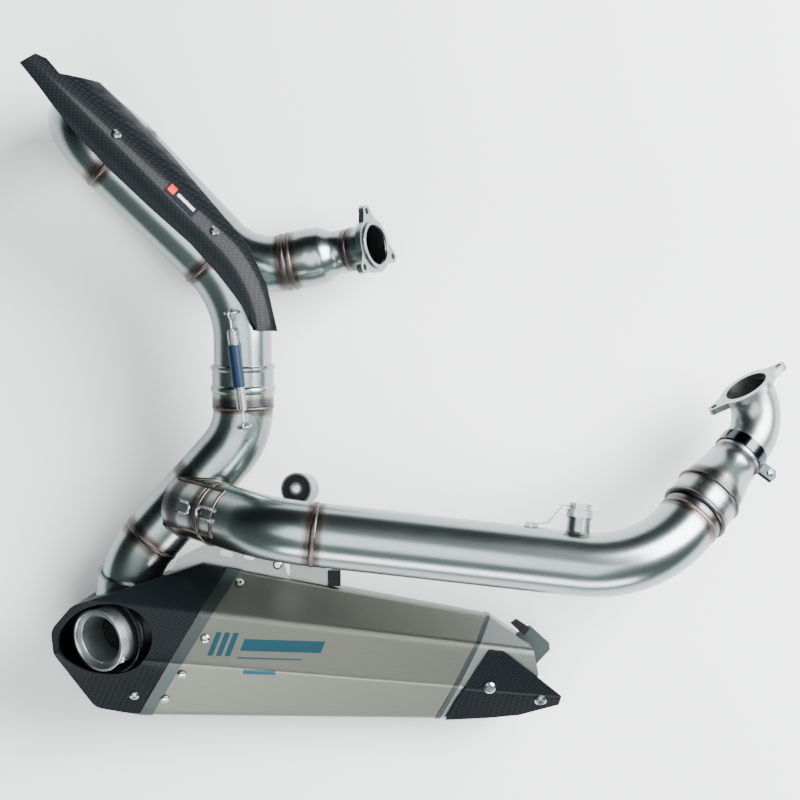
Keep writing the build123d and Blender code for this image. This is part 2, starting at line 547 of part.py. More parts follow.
hook_height = LUG_LEG + LUG_ARCH_R
upper_hook = upper_spot + upper_normal * hook_height + spring_chord * HOOK_PLAY
lower_hook = lower_spot + lower_normal * hook_height - spring_chord * HOOK_PLAY
spring_axis = direction_of(upper_hook, lower_hook)
spring_length = (lower_hook - upper_hook).length
SPRING_R = 5.2
COIL_INSET = 14.0           # from a hook's centre to the coil's end
SLEEVE_WALL_RUBBER = 1.0
hook_ring = Solid.make_torus(HOOK_R, HOOK_WIRE_R)


def hook(centre, towards, normal):
    """Hook ring in the plane of the spring's axis and the lug's normal, with its shank to the coil."""
    ring_plane = Plane(origin=centre, x_dir=towards, z_dir=Vector(towards).cross(Vector(normal)))
    shank = bar(centre + Vector(towards) * HOOK_R, towards, COIL_INSET - HOOK_R + 1, HOOK_WIRE_R)
    return joined(hook_ring.moved(ring_plane.location), shank)


coil = lathe(upper_hook, spring_axis, [
    (0, COIL_INSET), (SPRING_R * 0.45, COIL_INSET), (SPRING_R, COIL_INSET + 8),
    (SPRING_R, spring_length - COIL_INSET - 8), (SPRING_R * 0.45, spring_length - COIL_INSET),
    (0, spring_length - COIL_INSET)])
nodes["spring"] = joined(coil, hook(upper_hook, spring_axis, upper_normal),
                         hook(lower_hook, spring_axis * -1, upper_normal))
RUBBER_FROM = 30.0
RUBBER_LENGTH = 42.0
nodes["spring_rubber_sleeve"] = bar(upper_hook + spring_axis * RUBBER_FROM, spring_axis, RUBBER_LENGTH,
                                    SPRING_R + SLEEVE_WALL_RUBBER, SPRING_R)

# Wire hooks at the branch joint, made like the spring lugs.
branch_plane_normal = side_of(branch_axis, (-0.3, 0.1, 1))
elbow_spot = branch_mouth + branch_axis * 20 + branch_plane_normal * FRONT_TUBE_R
stub_spot = branch_mouth - branch_axis * 13 + branch_plane_normal * FRONT_TUBE_R
elbow_core = bar(branch_mouth - branch_axis * 30, branch_axis, 100, FRONT_TUBE_R)
nodes["front_spring_hook"] = lug(elbow_spot, branch_plane_normal, branch_axis, 0) - elbow_core
nodes["branch_spring_hook"] = lug(stub_spot, branch_plane_normal, branch_axis, 0) - elbow_core

# ---------------------------------------------------------------- hanger with its rubber bush
HANGER_CENTRE = (-103, -88, 108)
HANGER_AXIS = (-0.28, 0.05, 0.96)
HANGER_LENGTH = 24.0
hanger_axis = Vector(HANGER_AXIS).normalized()
hanger_low = Vector(HANGER_CENTRE) - hanger_axis * HANGER_LENGTH
hanger_sleeve = bar(hanger_low, hanger_axis, HANGER_LENGTH, 16.0, 14.0)
nodes["hanger_rubber"] = bar(hanger_low + hanger_axis * 1, hanger_axis, HANGER_LENGTH - 2, 14.0, 6.5)
BUSH_BORE_R = 4.1
nodes["hanger_bush"] = bar(hanger_low - hanger_axis * 1, hanger_axis, HANGER_LENGTH + 2, 6.5, BUSH_BORE_R)
front_core = bar(Vector(FRONT_PATH[0]) - bend_before * 60, bend_before, 300, FRONT_TUBE_R)
elbow_solid = joined(*tube_pieces(BRANCH_PATH, [BRANCH_RADIUS], FRONT_TUBE_R, FRONT_TUBE_R))
hanger_bar_plate = Plane(origin=hanger_low + hanger_axis * 9, z_dir=hanger_axis, x_dir=side_of(hanger_axis, (1, 0, 0)))
plate_face = make_face(Polyline([(-9, -12), (9, -12), (13, -46), (-13, -46)], close=True))
hanger_flat = extrude(hanger_bar_plate * plate_face, amount=4.0) - bar(hanger_low - hanger_axis * 5, hanger_axis, 40, 16.0)
hanger_web = Pos(-93, -127, 122) * Box(20, 4, 56)
bead_room = bar(Vector(FRONT_PATH[0]) - bend_before * 0.2, bend_before, BEAD_WIDTH + 1, FRONT_TUBE_R + BEAD_HEIGHT + 0.2)
hanger_body = joined(hanger_flat, hanger_web, hanger_sleeve) - front_core - elbow_solid - bead_room
nodes["hanger_bracket"] = hanger_body.solids().sort_by(SortBy.VOLUME)[-1]

# ---------------------------------------------------------------- muffler
outer_form = canister(0)
sleeve_space = canister(-SLEEVE_WALL)
cap_space = canister(-CAP_WALL)
above_floor = Pos(0, 0, 100.4) * Box(1200, 1200, 200)
outlet_axis = Vector(OUTLET_AXIS).normalized()
outlet_centre = Vector(OUTLET_CENTRE)
OPENING_R = 37.0
opening_centre = outlet_centre + Vector(6, -1, 0)
link_axis = direction_of(COLLECTOR_PATH[2], COLLECTOR_PATH[3])
link_solids = tube_pieces(COLLECTOR_PATH, COLLECTOR_RADII, COLLECTOR_R + 0.1, COLLECTOR_R + 0.1)
link_probe = joined(*link_solids[-2:])
sleeve = (outer_form - sleeve_space) & band_between(REAR_SEAM, 0, 400) & band_between(FRONT_SEAM, -400, 0)
end_cap = (outer_form - cap_space) & band_between(REAR_SEAM, -400, -0.2)
end_cap = end_cap - bar(opening_centre - outlet_axis * 40, outlet_axis, 90, OPENING_R) - link_probe
front_cap = (outer_form - cap_space) & band_between(FRONT_SEAM, 0.2, 400)

collar_ring = bar(Vector(COLLECTOR_PATH[2]) + link_axis * 14, link_axis, 24, COLLECTOR_R + 4, COLLECTOR_R + 0.1)
nodes["muffler_inlet_collar"] = (collar_ring - outer_form - link_probe).solids().sort_by(Axis.Y)[-1]

# Outlet tip with the removable noise insert.
TIP_DEPTH = 34.0
TIP_WALL = 1.5
tip_in = OUTLET_R - TIP_WALL
nodes["outlet_tip"] = lathe(outlet_centre, outlet_axis, [
    (tip_in, 0), (OUTLET_R + 1.2, 0), (OUTLET_R + 1.2, -3), (OUTLET_R, -4), (OUTLET_R, -TIP_DEPTH),
    (CORE_R - TUBE_WALL, -TIP_DEPTH), (CORE_R - TUBE_WALL, -TIP_DEPTH + 1.5), (tip_in, -TIP_DEPTH + 1.5)])
insert_rim = tip_in - SLIP_GAP
INSERT_BORE_R = 19.0
nodes["noise_insert"] = lathe(outlet_centre, outlet_axis, [
    (INSERT_R, -5), (insert_rim, -3), (insert_rim, -13), (insert_rim - 1.5, -13), (insert_rim - 1.5, -6.5),
    (INSERT_R, -8), (INSERT_BORE_R + 1.2, -12), (INSERT_BORE_R + 1.2, -31), (INSERT_BORE_R, -31),
    (INSERT_BORE_R, -11)])
screw_side = side_of(outlet_axis, (0.8, -0.58, 0))
screw_at = outlet_centre - outlet_axis * 9.5 + screw_side * OUTLET_R
nodes["insert_screw"] = button_screw(screw_at, screw_side, 3.6, 2.4, 1.9, TIP_WALL - 0.1)
nodes["outlet_tip"] = nodes["outlet_tip"] - bar(screw_at - screw_side * 4, screw_side, 8, 1.9)

# Perforated cores, baffles and packing inside.
tip_foot = outlet_centre - outlet_axis * TIP_DEPTH
elbow_knee = tip_foot - outlet_axis * 20
OUTLET_CORE = [(-206, -222, 70), (36, -244, 50)]
INLET_CORE = [(-236, -278, 46), (16, -292, 42)]
outlet_elbow = joined(*tube_pieces([tip_foot, elbow_knee, OUTLET_CORE[0]], [28], CORE_R, TUBE_WALL))
elbow_fit = joined(*tube_pieces([tip_foot, elbow_knee, OUTLET_CORE[0]], [28], CORE_R + 0.2, CORE_R + 0.2))
core_fits = [elbow_fit]
cores = {}
for name, (start, end) in (("outlet_core", OUTLET_CORE), ("inlet_core", INLET_CORE)):
    way = direction_of(start, end)
    reach = (Vector(end) - Vector(start)).length
    cores[name] = bar(start, way, reach, CORE_R, CORE_R - 1.0)
    core_fits.append(bar(Vector(start) - way * 12, way, reach + 24, CORE_R + 0.2))
nodes["inlet_core"] = cores["inlet_core"]
nodes["outlet_core"] = joined(outlet_elbow, cores["outlet_core"])
nodes["link_pipe"] = nodes["link_pipe"] - elbow_fit
chamber = canister(-SLEEVE_WALL - 0.3)
baffle_holes = joined(*core_fits)
rear_baffle = (chamber & band_between(REAR_SEAM, 5, 7)) - baffle_holes
front_baffle = (chamber & band_between(FRONT_SEAM, -26, -24)) - baffle_holes
nodes["baffle_plates"] = Compound(children=[rear_baffle, front_baffle])
wraps = []
for start, end in (OUTLET_CORE, INLET_CORE):
    way = direction_of(start, end)
    wrap_length = (Vector(end) - Vector(start)).length - 2 * WRAP_INSET
    wraps.append(bar(Vector(start) + way * WRAP_INSET, way, wrap_length, CORE_R + WRAP_WALL, CORE_R + 0.2))
nodes["glass_fibre_packing"] = Compound(children=wraps)

# Trim bands over both ends of the sleeve.
trim_skin = (canister(0.9) - canister(0.05)) & above_floor
rear_trim = trim_skin & band_between(REAR_SEAM, 0.4, 12)
front_trim = trim_skin & band_between(FRONT_SEAM, -4.5, -0.2)

# Rivets through the rear trim band and the screw in the end cap.
RIVET_SPOTS = [(-161, -183), (-193, -236), (-217, -273), (-236, -300)]
rivet_skin = canister(0.9)
rivets = []
for x, y in RIVET_SPOTS:
    seat = surface_on(rivet_skin, x, y)
    normal = facet_normal(rivet_skin, x, y)
    profile = [(0, 0), (4.6, 0), (4.3, 0.9), (2.8, 1.7), (0, 1.9)]
    rivets.append(lathe(seat, normal, profile) + bar(seat, normal * -1, 4.5, 2.0))
nodes["sleeve_rivets"] = Compound(children=rivets)
cap_screw_seat = surface_on(outer_form, -266, -296)
cap_screw_normal = facet_normal(outer_form, -266, -296)
cap_screw = button_screw(cap_screw_seat, cap_screw_normal, 5.0, 2.6, 2.5, 8.0)
end_cap = end_cap - bar(cap_screw_seat + cap_screw_normal * 2, cap_screw_normal * -1, 12, 2.5)
for rivet in rivets:
    rear_trim = rear_trim - rivet
    sleeve = sleeve - rivet
nodes["sleeve_trim_bands"] = Compound(children=[rear_trim, front_trim])
nodes["muffler_sleeve"] = sleeve
nodes["end_cap"] = end_cap
nodes["front_cap"] = front_cap

# Carbon guard over the front cap and its two screws.
guard_skin = (canister_loft(3.2) - canister_loft(1.4)) & prism(GUARD_OUTLINE, 20, 200)
guard = guard_skin.solids().sort_by(SortBy.VOLUME)[-1]
guard_top = canister_loft(3.2)
guard_screws = []
for x, y in ((90, -289), (142, -303)):
    seat = surface_on(guard_top, x, y)
    normal = facet_normal(guard_top, x, y)
    guard_screws.append(button_screw(seat, normal, 6.5, 3.2, 2.4, 5.0))
    guard = guard - bar(seat + normal * 3, normal * -1, 12, 2.45)
nodes["front_guard"] = guard
nodes["guard_screws"] = Compound(children=guard_screws)
for screw in guard_screws:
    nodes["front_cap"] = nodes["front_cap"] - screw
    nodes["front_guard"] = nodes["front_guard"] - screw
nodes["front_guard"] = nodes["front_guard"].solids().sort_by(SortBy.VOLUME)[-1]

# Mounting plate, its slots and bolt, and the bar with its rubber stop.
plate_solid = prism(PLATE_OUTLINE, 58, 61.5) - canister(0.95) - link_probe
slot_a = Pos(-176, -156, 60) * Rot(0, 0, -12) * extrude(SlotOverall(14, 6.4), amount=10, both=True)
slot_b = Pos(-153, -159, 60) * Rot(0, 0, -12) * extrude(SlotOverall(11, 6.4), amount=10, both=True)
nodes["mount_plate"] = (plate_solid - slot_a - slot_b).solids().sort_by(SortBy.VOLUME)[-1]
bolt_seat = Vector(-124, -167, 61.5)
mount_bolt = button_screw(bolt_seat, (0, 0, 1), 5.0, 2.8, 2.5, 8.0)
nodes["muffler_screws"] = Compound(children=[cap_screw, mount_bolt])
nodes["mount_plate"] = nodes["mount_plate"] - bar(bolt_seat + Vector(0, 0, 1), (0, 0, -1), 12, 2.5)
bar_outline = [(-112, -163), (-74, -171), (-74, -190), (-112, -186)]
nodes["mount_bar"] = prism(bar_outline, 50, 56) - canister(0.95)
rubber_stop = (Pos(-67, -181, 52) * Box(13, 16, 16)) - canister(0.95)

# Bracket on the front cap with a rubber strip.
bracket_outline = [(118, -240), (133, -231), (153, -249), (154, -256), (139, -272), (128, -258)]
nodes["front_bracket"] = prism(bracket_outline, 34, 37.5) - canister(0.1)
strip_outline = [(113, -228), (119, -224), (133, -233), (127, -241)]
bracket_rubber = (prism(strip_outline, 37.7, 46) - canister(0.3)).solids().sort_by(SortBy.VOLUME)[-1]
nodes["rubber_stops"] = Compound(children=[rubber_stop, bracket_rubber])

# ---------------------------------------------------------------- origin and export
everything = [shape.bounding_box() for shape in nodes.values()]
low = Vector(min(b.min.X for b in everything), min(b.min.Y for b in everything), min(b.min.Z for b in everything))
high = Vector(max(b.max.X for b in everything), max(b.max.Y for b in everything), max(b.max.Z for b in everything))
ORIGIN = Vector((low.X + high.X) / 2, (low.Y + high.Y) / 2, low.Z)

tube_names = ["rear_down_pipe", "rear_front_leg", "rear_u_bend", "rear_back_leg", "rear_port_cone",
              "rear_port_spigot", "collector_pipe", "link_pipe", "slip_socket", "collector_branch", "front_elbow",
              "front_long_pipe", "front_slip_socket"]
for beads in ("rear_weld_beads", "collector_beads", "front_weld_beads"):
    cut = []
    for ring in nodes[beads].solids():
        for tube in tube_names:
            if (ring & nodes[tube]) is not None and ring.distance_to(nodes[tube]) < 0.01:
                ring = ring - nodes[tube]
        cut.append(ring.solids().sort_by(SortBy.VOLUME)[-1])
    nodes[beads] = Compound(children=cut)

for name, shape in nodes.items():
    moved = shape.moved(Location(ORIGIN * -1))
    export_step(moved, f"parts/{name}.step")

print("origin", ORIGIN, "size", high - low, "nodes", len(nodes))
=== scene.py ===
import json
from math import pi, radians

import bpy
import numpy as np
from bpy.props import FloatProperty, FloatVectorProperty, PointerProperty
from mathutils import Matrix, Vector


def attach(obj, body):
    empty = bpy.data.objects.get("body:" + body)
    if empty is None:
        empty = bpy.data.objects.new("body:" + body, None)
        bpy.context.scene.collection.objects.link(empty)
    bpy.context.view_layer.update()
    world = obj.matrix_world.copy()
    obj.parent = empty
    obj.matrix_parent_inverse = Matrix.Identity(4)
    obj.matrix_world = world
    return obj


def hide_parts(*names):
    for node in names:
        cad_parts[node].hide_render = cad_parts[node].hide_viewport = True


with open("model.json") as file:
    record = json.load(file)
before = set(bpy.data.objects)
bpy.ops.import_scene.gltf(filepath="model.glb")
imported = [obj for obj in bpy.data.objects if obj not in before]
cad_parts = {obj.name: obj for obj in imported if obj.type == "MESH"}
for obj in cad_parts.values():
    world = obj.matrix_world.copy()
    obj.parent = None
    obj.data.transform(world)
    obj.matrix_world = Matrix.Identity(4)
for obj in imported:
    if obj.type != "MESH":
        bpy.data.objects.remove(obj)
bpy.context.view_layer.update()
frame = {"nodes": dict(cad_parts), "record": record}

bl_info = {
    "name": "Racing Exhaust System",
    "version": (1, 0, 0),
    "blender": (4, 5, 0),
    "location": "3D View > Sidebar > Exhaust",
    "description": "Header pipes, slip joints, heat shield and faceted silencer of a racing twin's exhaust",
    "category": "Add Mesh",
}

MM = 0.001
DRAWING_ORIGIN = np.array([12.3375, 2.5, -0.0743])
SHARP_EDGE = radians(32)
BEAD_EDGE = radians(75)
WIRE_EDGE = radians(60)
MERGE_DISTANCE = 0.002 * MM
ROUND_SIDES = 96


# ---------------------------------------------------------------- places

def at(*point):
    """A point of the drawing, in millimetres, as a point of the frame in metres."""
    return (np.array(point, float) - DRAWING_ORIGIN) * MM


def unit(vectors):
    """Each vector divided by its own length."""
    vectors = np.asarray(vectors, float)
    return vectors / np.linalg.norm(vectors, axis=-1, keepdims=True)


def across(way, hint):
    """The direction nearest to hint that is square to way."""
    hint = np.asarray(hint, float)
    return unit(hint - way * (hint @ way))


def rounded_path(points, radii, count=420):
    """Straight runs joined by arcs. A corner of angle a is cut back by r tan(a/2) on both sides, and the arc
    is cut point + r (sin t ahead + (1 - cos t) inwards) for t from 0 to a. The line is then spaced evenly."""
    spots = [at(*point) for point in points]
    runs = [spots[0][None]]
    for before, corner, after, radius in zip(spots, spots[1:], spots[2:], radii):
        ahead, leaving = unit(corner - before), unit(after - corner)
        angle = np.arccos(np.clip(ahead @ leaving, -1, 1))
        start = corner - ahead * radius * MM * np.tan(angle / 2)
        turn = np.linspace(0, angle, 90)[:, None]
        inwards = across(ahead, leaving)
        runs.append(start + radius * MM * (np.sin(turn) * ahead + (1 - np.cos(turn)) * inwards))
    runs.append(spots[-1][None])
    line = np.concatenate(runs)
    reach = np.r_[0, np.cumsum(np.linalg.norm(np.diff(line, axis=0), axis=1))]
    even = np.linspace(0, reach[-1], count)
    return np.stack([np.interp(even, reach, line[:, axis]) for axis in range(3)], axis=1)


class Track:
    """A centreline with its length and two crosswise directions carried along it without twist."""

    def __init__(self, line):
        self.line = np.asarray(line, float)
        self.reach = np.r_[0, np.cumsum(np.linalg.norm(np.diff(self.line, axis=0), axis=1))]
        self.length = self.reach[-1]
        self.ahead = unit(np.gradient(self.line, self.reach, axis=0))
        first = self.ahead[0]
        hint = np.eye(3)[np.argmin(np.abs(first))]
        side = across(first, hint)
        carried = []
        for way in self.ahead:
            side = across(way, side)
            carried.append(side)
        self.side = np.array(carried)
        self.up = np.cross(self.ahead, self.side)

    def at(self, reach):
        """Centre, side and up at distances along the line, which runs straight on past both of its ends."""
        reach = np.asarray(reach, float)
        inside = np.clip(reach, 0, self.length)
        found = [np.stack([np.interp(inside, self.reach, field[:, axis]) for axis in range(3)], axis=-1)
                 for field in (self.line, self.ahead, self.side)]
        centre, ahead, side = found[0], unit(found[1]), found[2]
        side = unit(side - ahead * np.sum(side * ahead, axis=-1, keepdims=True))
        centre = centre + ahead * (reach - inside)[..., None]
        return centre, side, np.cross(ahead, side)


def straight(start, way, length):
    """A straight track, with its start and length in drawing millimetres."""
    return Track(at(*start) + np.linspace(0, length * MM, 8)[:, None] * unit(way))


# ---------------------------------------------------------------- surfaces

def around(turn, side, up):
    """The direction side cos(turn) + up sin(turn)."""
    return np.cos(turn) * side + np.sin(turn) * up


def carried(track, reach, radius, sides=ROUND_SIDES):
    """Surface(i, v) = centre(s_i) + r(i, v) (side cos v + up sin v), for v round a whole turn."""
    centre, side, up = track.at(reach)
    turn = np.arange(sides) / sides * 2 * pi
    radius = np.asarray(radius, float)
    radius = np.broadcast_to(radius[:, None] if radius.ndim == 1 else radius, (len(reach), sides))
    ring = around(turn[None, :, None], side[:, None], up[:, None])
    return centre[:, None] + radius[..., None] * ring


def outward(points, triangles):
    """True if the triangles face outwards: the sum of a . (b x c) over them isn't negative."""
    a, b, c = (points[triangles[:, corner]] for corner in range(3))
    return np.sum(a * np.cross(b, c)) >= 0


def skin(name, grid, loop_rows=True, caps=False, fields=None, sharp=SHARP_EDGE, uv_scale=None):
    """A mesh from a grid of points (rows, columns, 3), whose last column joins the first. loop_rows joins the
    last row to the first, and caps closes both of them with a fan round their middle. fields are numbers for
    each row, and uv_scale is the map's step along a row and the place of each row."""
    rows, columns = grid.shape[:2]
    i = np.arange(rows if loop_rows else rows - 1)[:, None]
    j = np.arange(columns)[None, :]
    corners = [(i, j), (i, j + 1), (i + 1, j + 1), (i + 1, j)]
    polygons = np.stack([(a % rows) * columns + (b % columns) for a, b in corners], axis=-1).reshape(-1, 4)
    wide = np.stack([np.broadcast_to(b, (i.size, j.size)) for a, b in corners], axis=-1).reshape(-1, 4)
    long = np.stack([np.broadcast_to(a, (i.size, j.size)) for a, b in corners], axis=-1).reshape(-1, 4)
    points = grid.reshape(-1, 3)
    fans = np.zeros((0, 3), int)
    if caps:
        middle = len(points)
        points = np.vstack([points, grid[0].mean(axis=0), grid[-1].mean(axis=0)])
        k = np.arange(columns)
        last = (rows - 1) * columns
        first_fan = np.stack([np.full(columns, middle), (k + 1) % columns, k], axis=-1)
        last_fan = np.stack([np.full(columns, middle + 1), last + k, last + (k + 1) % columns], axis=-1)
        fans = np.vstack([first_fan, last_fan])
    triangles = np.vstack([polygons[:, [0, 1, 2]], polygons[:, [0, 2, 3]], fans])
    if not outward(points, triangles):
        polygons, fans = polygons[:, ::-1], fans[:, ::-1]
        wide, long = wide[:, ::-1], long[:, ::-1]
    mesh = bpy.data.meshes.new(name)
    mesh.vertices.add(len(points))
    mesh.vertices.foreach_set("co", points.astype(np.float32).ravel())
    loops = np.r_[polygons.ravel(), fans.ravel()]
    sizes = np.r_[np.full(len(polygons), 4), np.full(len(fans), 3)]
    mesh.loops.add(len(loops))
    mesh.loops.foreach_set("vertex_index", loops.astype(np.int32))
    mesh.polygons.add(len(sizes))
    mesh.polygons.foreach_set("loop_start", np.r_[0, np.cumsum(sizes)[:-1]].astype(np.int32))
    mesh.update(calc_edges=True)
    mesh.validate()
    layer = mesh.uv_layers.new(name="Along")
    u_step, v_rows = uv_scale or (1.0 / columns, np.linspace(0, 1, rows + 1))
    v_rows = np.asarray(v_rows)
    uv = np.stack([wide * u_step, v_rows[np.minimum(long, len(v_rows) - 1)]], axis=-1).reshape(-1, 2)
    uv = np.vstack([uv, np.zeros((fans.size, 2))])
    layer.data.foreach_set("uv", uv.astype(np.float32).ravel())
    for field, values in (fields or {}).items():
        values = np.repeat(np.asarray(values, float), columns)
        if caps:
            values = np.r_[values, values[0], values[-1]]
        mesh.attributes.new(field, "FLOAT", "POINT").data.foreach_set("value", values.astype(np.float32))
    mesh.polygons.foreach_set("use_smooth", np.ones(len(mesh.polygons), bool))
    mesh.set_sharp_from_angle(angle=sharp)
    return mesh


def place_piece(name, mesh, body, material, stands_for=()):
    """Links the mesh as a piece that rides on a body, takes a material slot and stands for CAD nodes."""
    piece = bpy.data.objects.new(name, mesh)
    bpy.context.scene.collection.objects.link(piece)
    mesh.materials.clear()
    mesh.materials.append(material)
    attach(piece, body)
    if stands_for:
        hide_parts(*stands_for)
    return piece


def merged(name, meshes):
    """Several meshes as one, with their attributes and maps kept."""
    parts = []
    for mesh in meshes:
        part = bpy.data.objects.new(name + "_part", mesh)
        bpy.context.scene.collection.objects.link(part)
        parts.append(part)
    with bpy.context.temp_override(active_object=parts[0], selected_editable_objects=parts, object=parts[0],
                                   selected_objects=parts):
        bpy.ops.object.join()
    mesh = parts[0].data
    mesh.name = name
    bpy.data.objects.remove(parts[0])
    return mesh


def lip_profile(start, end, outer, inner, step=2.0, edge=0.3):
    """A tube's wall cut along its length, as a closed loop: out along the skin from start to end, over the
    lip, and back along the bore. Distances are in metres, but step and edge are in millimetres. outer and
    inner are radii or functions of the distance."""
    edge = edge * MM
    count = max(int(round((end - start) / (step * MM))), 3)
    run = np.linspace(start + edge, end - edge, count)
    outer_at = outer if callable(outer) else (lambda s: np.full_like(s, outer))
    inner_at = inner if callable(inner) else (lambda s: np.full_like(s, inner))
    skin_r, bore_r = outer_at(run), inner_at(run)
    reach = np.r_[run, end, end, run[::-1], start, start]
    radius = np.r_[skin_r, skin_r[-1] - edge, bore_r[-1] + edge,
                   bore_r[::-1], bore_r[0] + edge, skin_r[0] - edge]
    return reach, radius


def heat_at(reach, welds, spread):
    """How strongly the steel is tinted at each distance: the largest of exp(-((s - weld) / spread)^2)."""
    reach = np.asarray(reach, float)
    if not len(welds):
        return np.zeros_like(reach)
    gaps = (reach[:, None] - np.asarray(welds, float)[None, :]) / spread
    return np.exp(-gaps ** 2).max(axis=1)


# ---------------------------------------------------------------- finishes

class Wire:
    """A value on its way through a material: an output socket that adds a Math node for each sum."""

    def __init__(self, finish, socket):
        self.finish = finish
        self.socket = socket

    def sum(self, operation, *terms):
        """A Math node of that operation with the terms in order."""
        return self.finish.node("ShaderNodeMath", {"operation": operation}, dict(enumerate(terms)))

    def __add__(self, other):
        return self.sum("ADD", self, other)

    def __radd__(self, other):
        return self.sum("ADD", other, self)

    def __sub__(self, other):
        return self.sum("SUBTRACT", self, other)

    def __rsub__(self, other):
        return self.sum("SUBTRACT", other, self)

    def __mul__(self, other):
        return self.sum("MULTIPLY", self, other)

    def __rmul__(self, other):
        return self.sum("MULTIPLY", other, self)

    def __truediv__(self, other):
        return self.sum("DIVIDE", self, other)

    def __gt__(self, other):
        return self.sum("GREATER_THAN", self, other)

    def __lt__(self, other):
        return self.sum("LESS_THAN", self, other)

    def sine(self):
        """The sine of the value."""
        return self.sum("SINE", self)

    def size(self):
        """The value without its sign."""
        return self.sum("ABSOLUTE", self)

    def between(self, low, high):
        """1 where the value lies between low and high, else 0."""
        return (self > low) * (self < high)


class Finish:
    """A procedural material under construction round one Principled shader."""

    def __init__(self, name, colour, roughness, metallic=1.0, **constants):
        self.material = bpy.data.materials.new(name)
        self.material.use_nodes = True
        self.tree = self.material.node_tree
        self.shader = self.tree.nodes["Principled BSDF"]
        self.set("Base Color", (*colour, 1.0) if isinstance(colour, (tuple, list)) else colour)
        self.set("Roughness", roughness)
        self.set("Metallic", metallic)
        for socket, value in constants.items():
            self.set(socket.replace("_", " "), value)

    def set(self, socket, value):
        """Puts a number, colour or wire on one of the shader's own sockets."""
        self.feed(self.shader.inputs[socket], value)

    def feed(self, socket, value):
        """Links a wire to a socket, or sets a plain value on it."""
        if isinstance(value, Wire):
            self.tree.links.new(value.socket, socket)
        else:
            socket.default_value = value

    def node(self, kind, settings=None, values=None, output=0, stops=None):
        """A node of that type: its settings and ramp stops first, then the values or wires of its sockets."""
        made = self.tree.nodes.new(kind)
        for key, value in (settings or {}).items():
            setattr(made, key, value)
        if stops:
            elements = made.color_ramp.elements
            for element, (place, colour) in zip(elements, (stops[0], stops[-1])):
                element.position = place
                element.color = (*colour, 1.0)
            for place, colour in stops[1:-1]:
                elements.new(place).color = (*colour, 1.0)
        for key, value in (values or {}).items():
            self.feed(made.inputs[key], value)
        return Wire(self, made.outputs[output])

    def blend(self, amount, first, second):
        """Colour mix of first and second by amount."""
        values = {0: amount, 6: self.colour(first), 7: self.colour(second)}
        return self.node("ShaderNodeMix", {"data_type": "RGBA"}, values, 2)

    @staticmethod
    def colour(value):
        """A wire as it is, or a colour with its alpha."""
        return value if isinstance(value, Wire) else (*value, 1.0)[:4]

    def ramp(self, amount, stops):
        """Colour ramp: stops are (place, colour)."""
        return self.node("ShaderNodeValToRGB", None, {0: amount}, 0, stops)

    def places(self, scale=(1, 1, 1), turn=(0, 0, 0), map_name=None):
        """Object coordinates, or the piece's own map, scaled and turned."""
        if map_name:
            source = self.node("ShaderNodeUVMap", {"uv_map": map_name})
        else:
            source = self.node("ShaderNodeTexCoord", None, None, "Object")
        return self.node("ShaderNodeMapping", None, {"Vector": source, "Scale": scale, "Rotation": turn})

    def apart(self, vector):
        """x, y and z of a vector."""
        split = self.node("ShaderNodeSeparateXYZ", None, {0: vector})
        outputs = split.socket.node.outputs
        return [Wire(self, outputs[axis]) for axis in range(3)]

    def noise(self, vector, scale, detail=3.0, roughness=0.55):
        """Noise from 0 to 1."""
        return self.node("ShaderNodeTexNoise", None,
                         {"Vector": vector, "Scale": scale, "Detail": detail, "Roughness": roughness}, "Fac")

    def field(self, name):
        """A number that the piece's mesh carries on its points."""
        return self.node("ShaderNodeAttribute", {"attribute_name": name}, None, "Fac")

    def bump(self, height, distance, strength=1.0):
        """Fine relief of that height, in metres."""
        values = {"Height": height, "Distance": distance, "Strength": strength}
        self.set("Normal", self.node("ShaderNodeBump", None, values))


STRAW = (0.19, 0.18, 0.135)
BROWN = (0.10, 0.068, 0.05)
VIOLET = (0.055, 0.04, 0.055)
BLUE = (0.025, 0.036, 0.055)
SCALE = (0.028, 0.022, 0.02)


def shade_of(colour, amount):
    """The colour with each part multiplied by amount."""
    return tuple(amount * part for part in colour)


def pipe_finish(name, colour, roughness, streak=0.05):
    """Polished tube: fine streaks round it, soft clouds, and heat colours from the mesh's scorch field."""
    finish = Finish(name, colour, roughness)
    round_the_tube = finish.places((12, 900, 1), map_name="Along")
    streaks = finish.noise(round_the_tube, 1.0, 1.0)
    clouds = finish.noise(finish.places(), 22.0, 4.0)
    heat = finish.field("scorch")
    wavering = heat + (clouds - 0.5) * heat * 1.3
    tint = finish.ramp(wavering, [(0.0, colour), (0.18, colour), (0.38, STRAW), (0.55, BROWN), (0.72, VIOLET),
                                  (0.86, BLUE), (1.0, SCALE)])
    shade = finish.blend(clouds * 0.35, tint, shade_of(colour, 0.62))
    finish.set("Base Color", finish.blend(streaks * streak * 2, shade, shade_of(colour, 0.45)))
    finish.set("Roughness", roughness - 0.05 + streaks * 0.05 + clouds * 0.06 + heat * 0.08)
    finish.bump(streaks, 0.000003)
    return finish.material


def satin_finish(name, colour, roughness, stretch=(1, 1, 1), depth=0.00002, metallic=1.0, **constants):
    """Satin metal with a grain drawn out along one way and soft, wider clouds."""
    finish = Finish(name, colour, roughness, metallic, **constants)
    grain = finish.noise(finish.places(tuple(900.0 / part for part in stretch)), 1.0, 2.0)
    clouds = finish.noise(finish.places(), 30.0, 3.0)
    mottled = finish.blend(clouds * 0.5, colour, shade_of(colour, 0.72))
    finish.set("Base Color", finish.blend(grain * 0.25, mottled, shade_of(colour, 0.6)))
    finish.set("Roughness", roughness - 0.06 + grain * 0.08 + clouds * 0.06)
    finish.bump(grain, depth)
    return finish.material


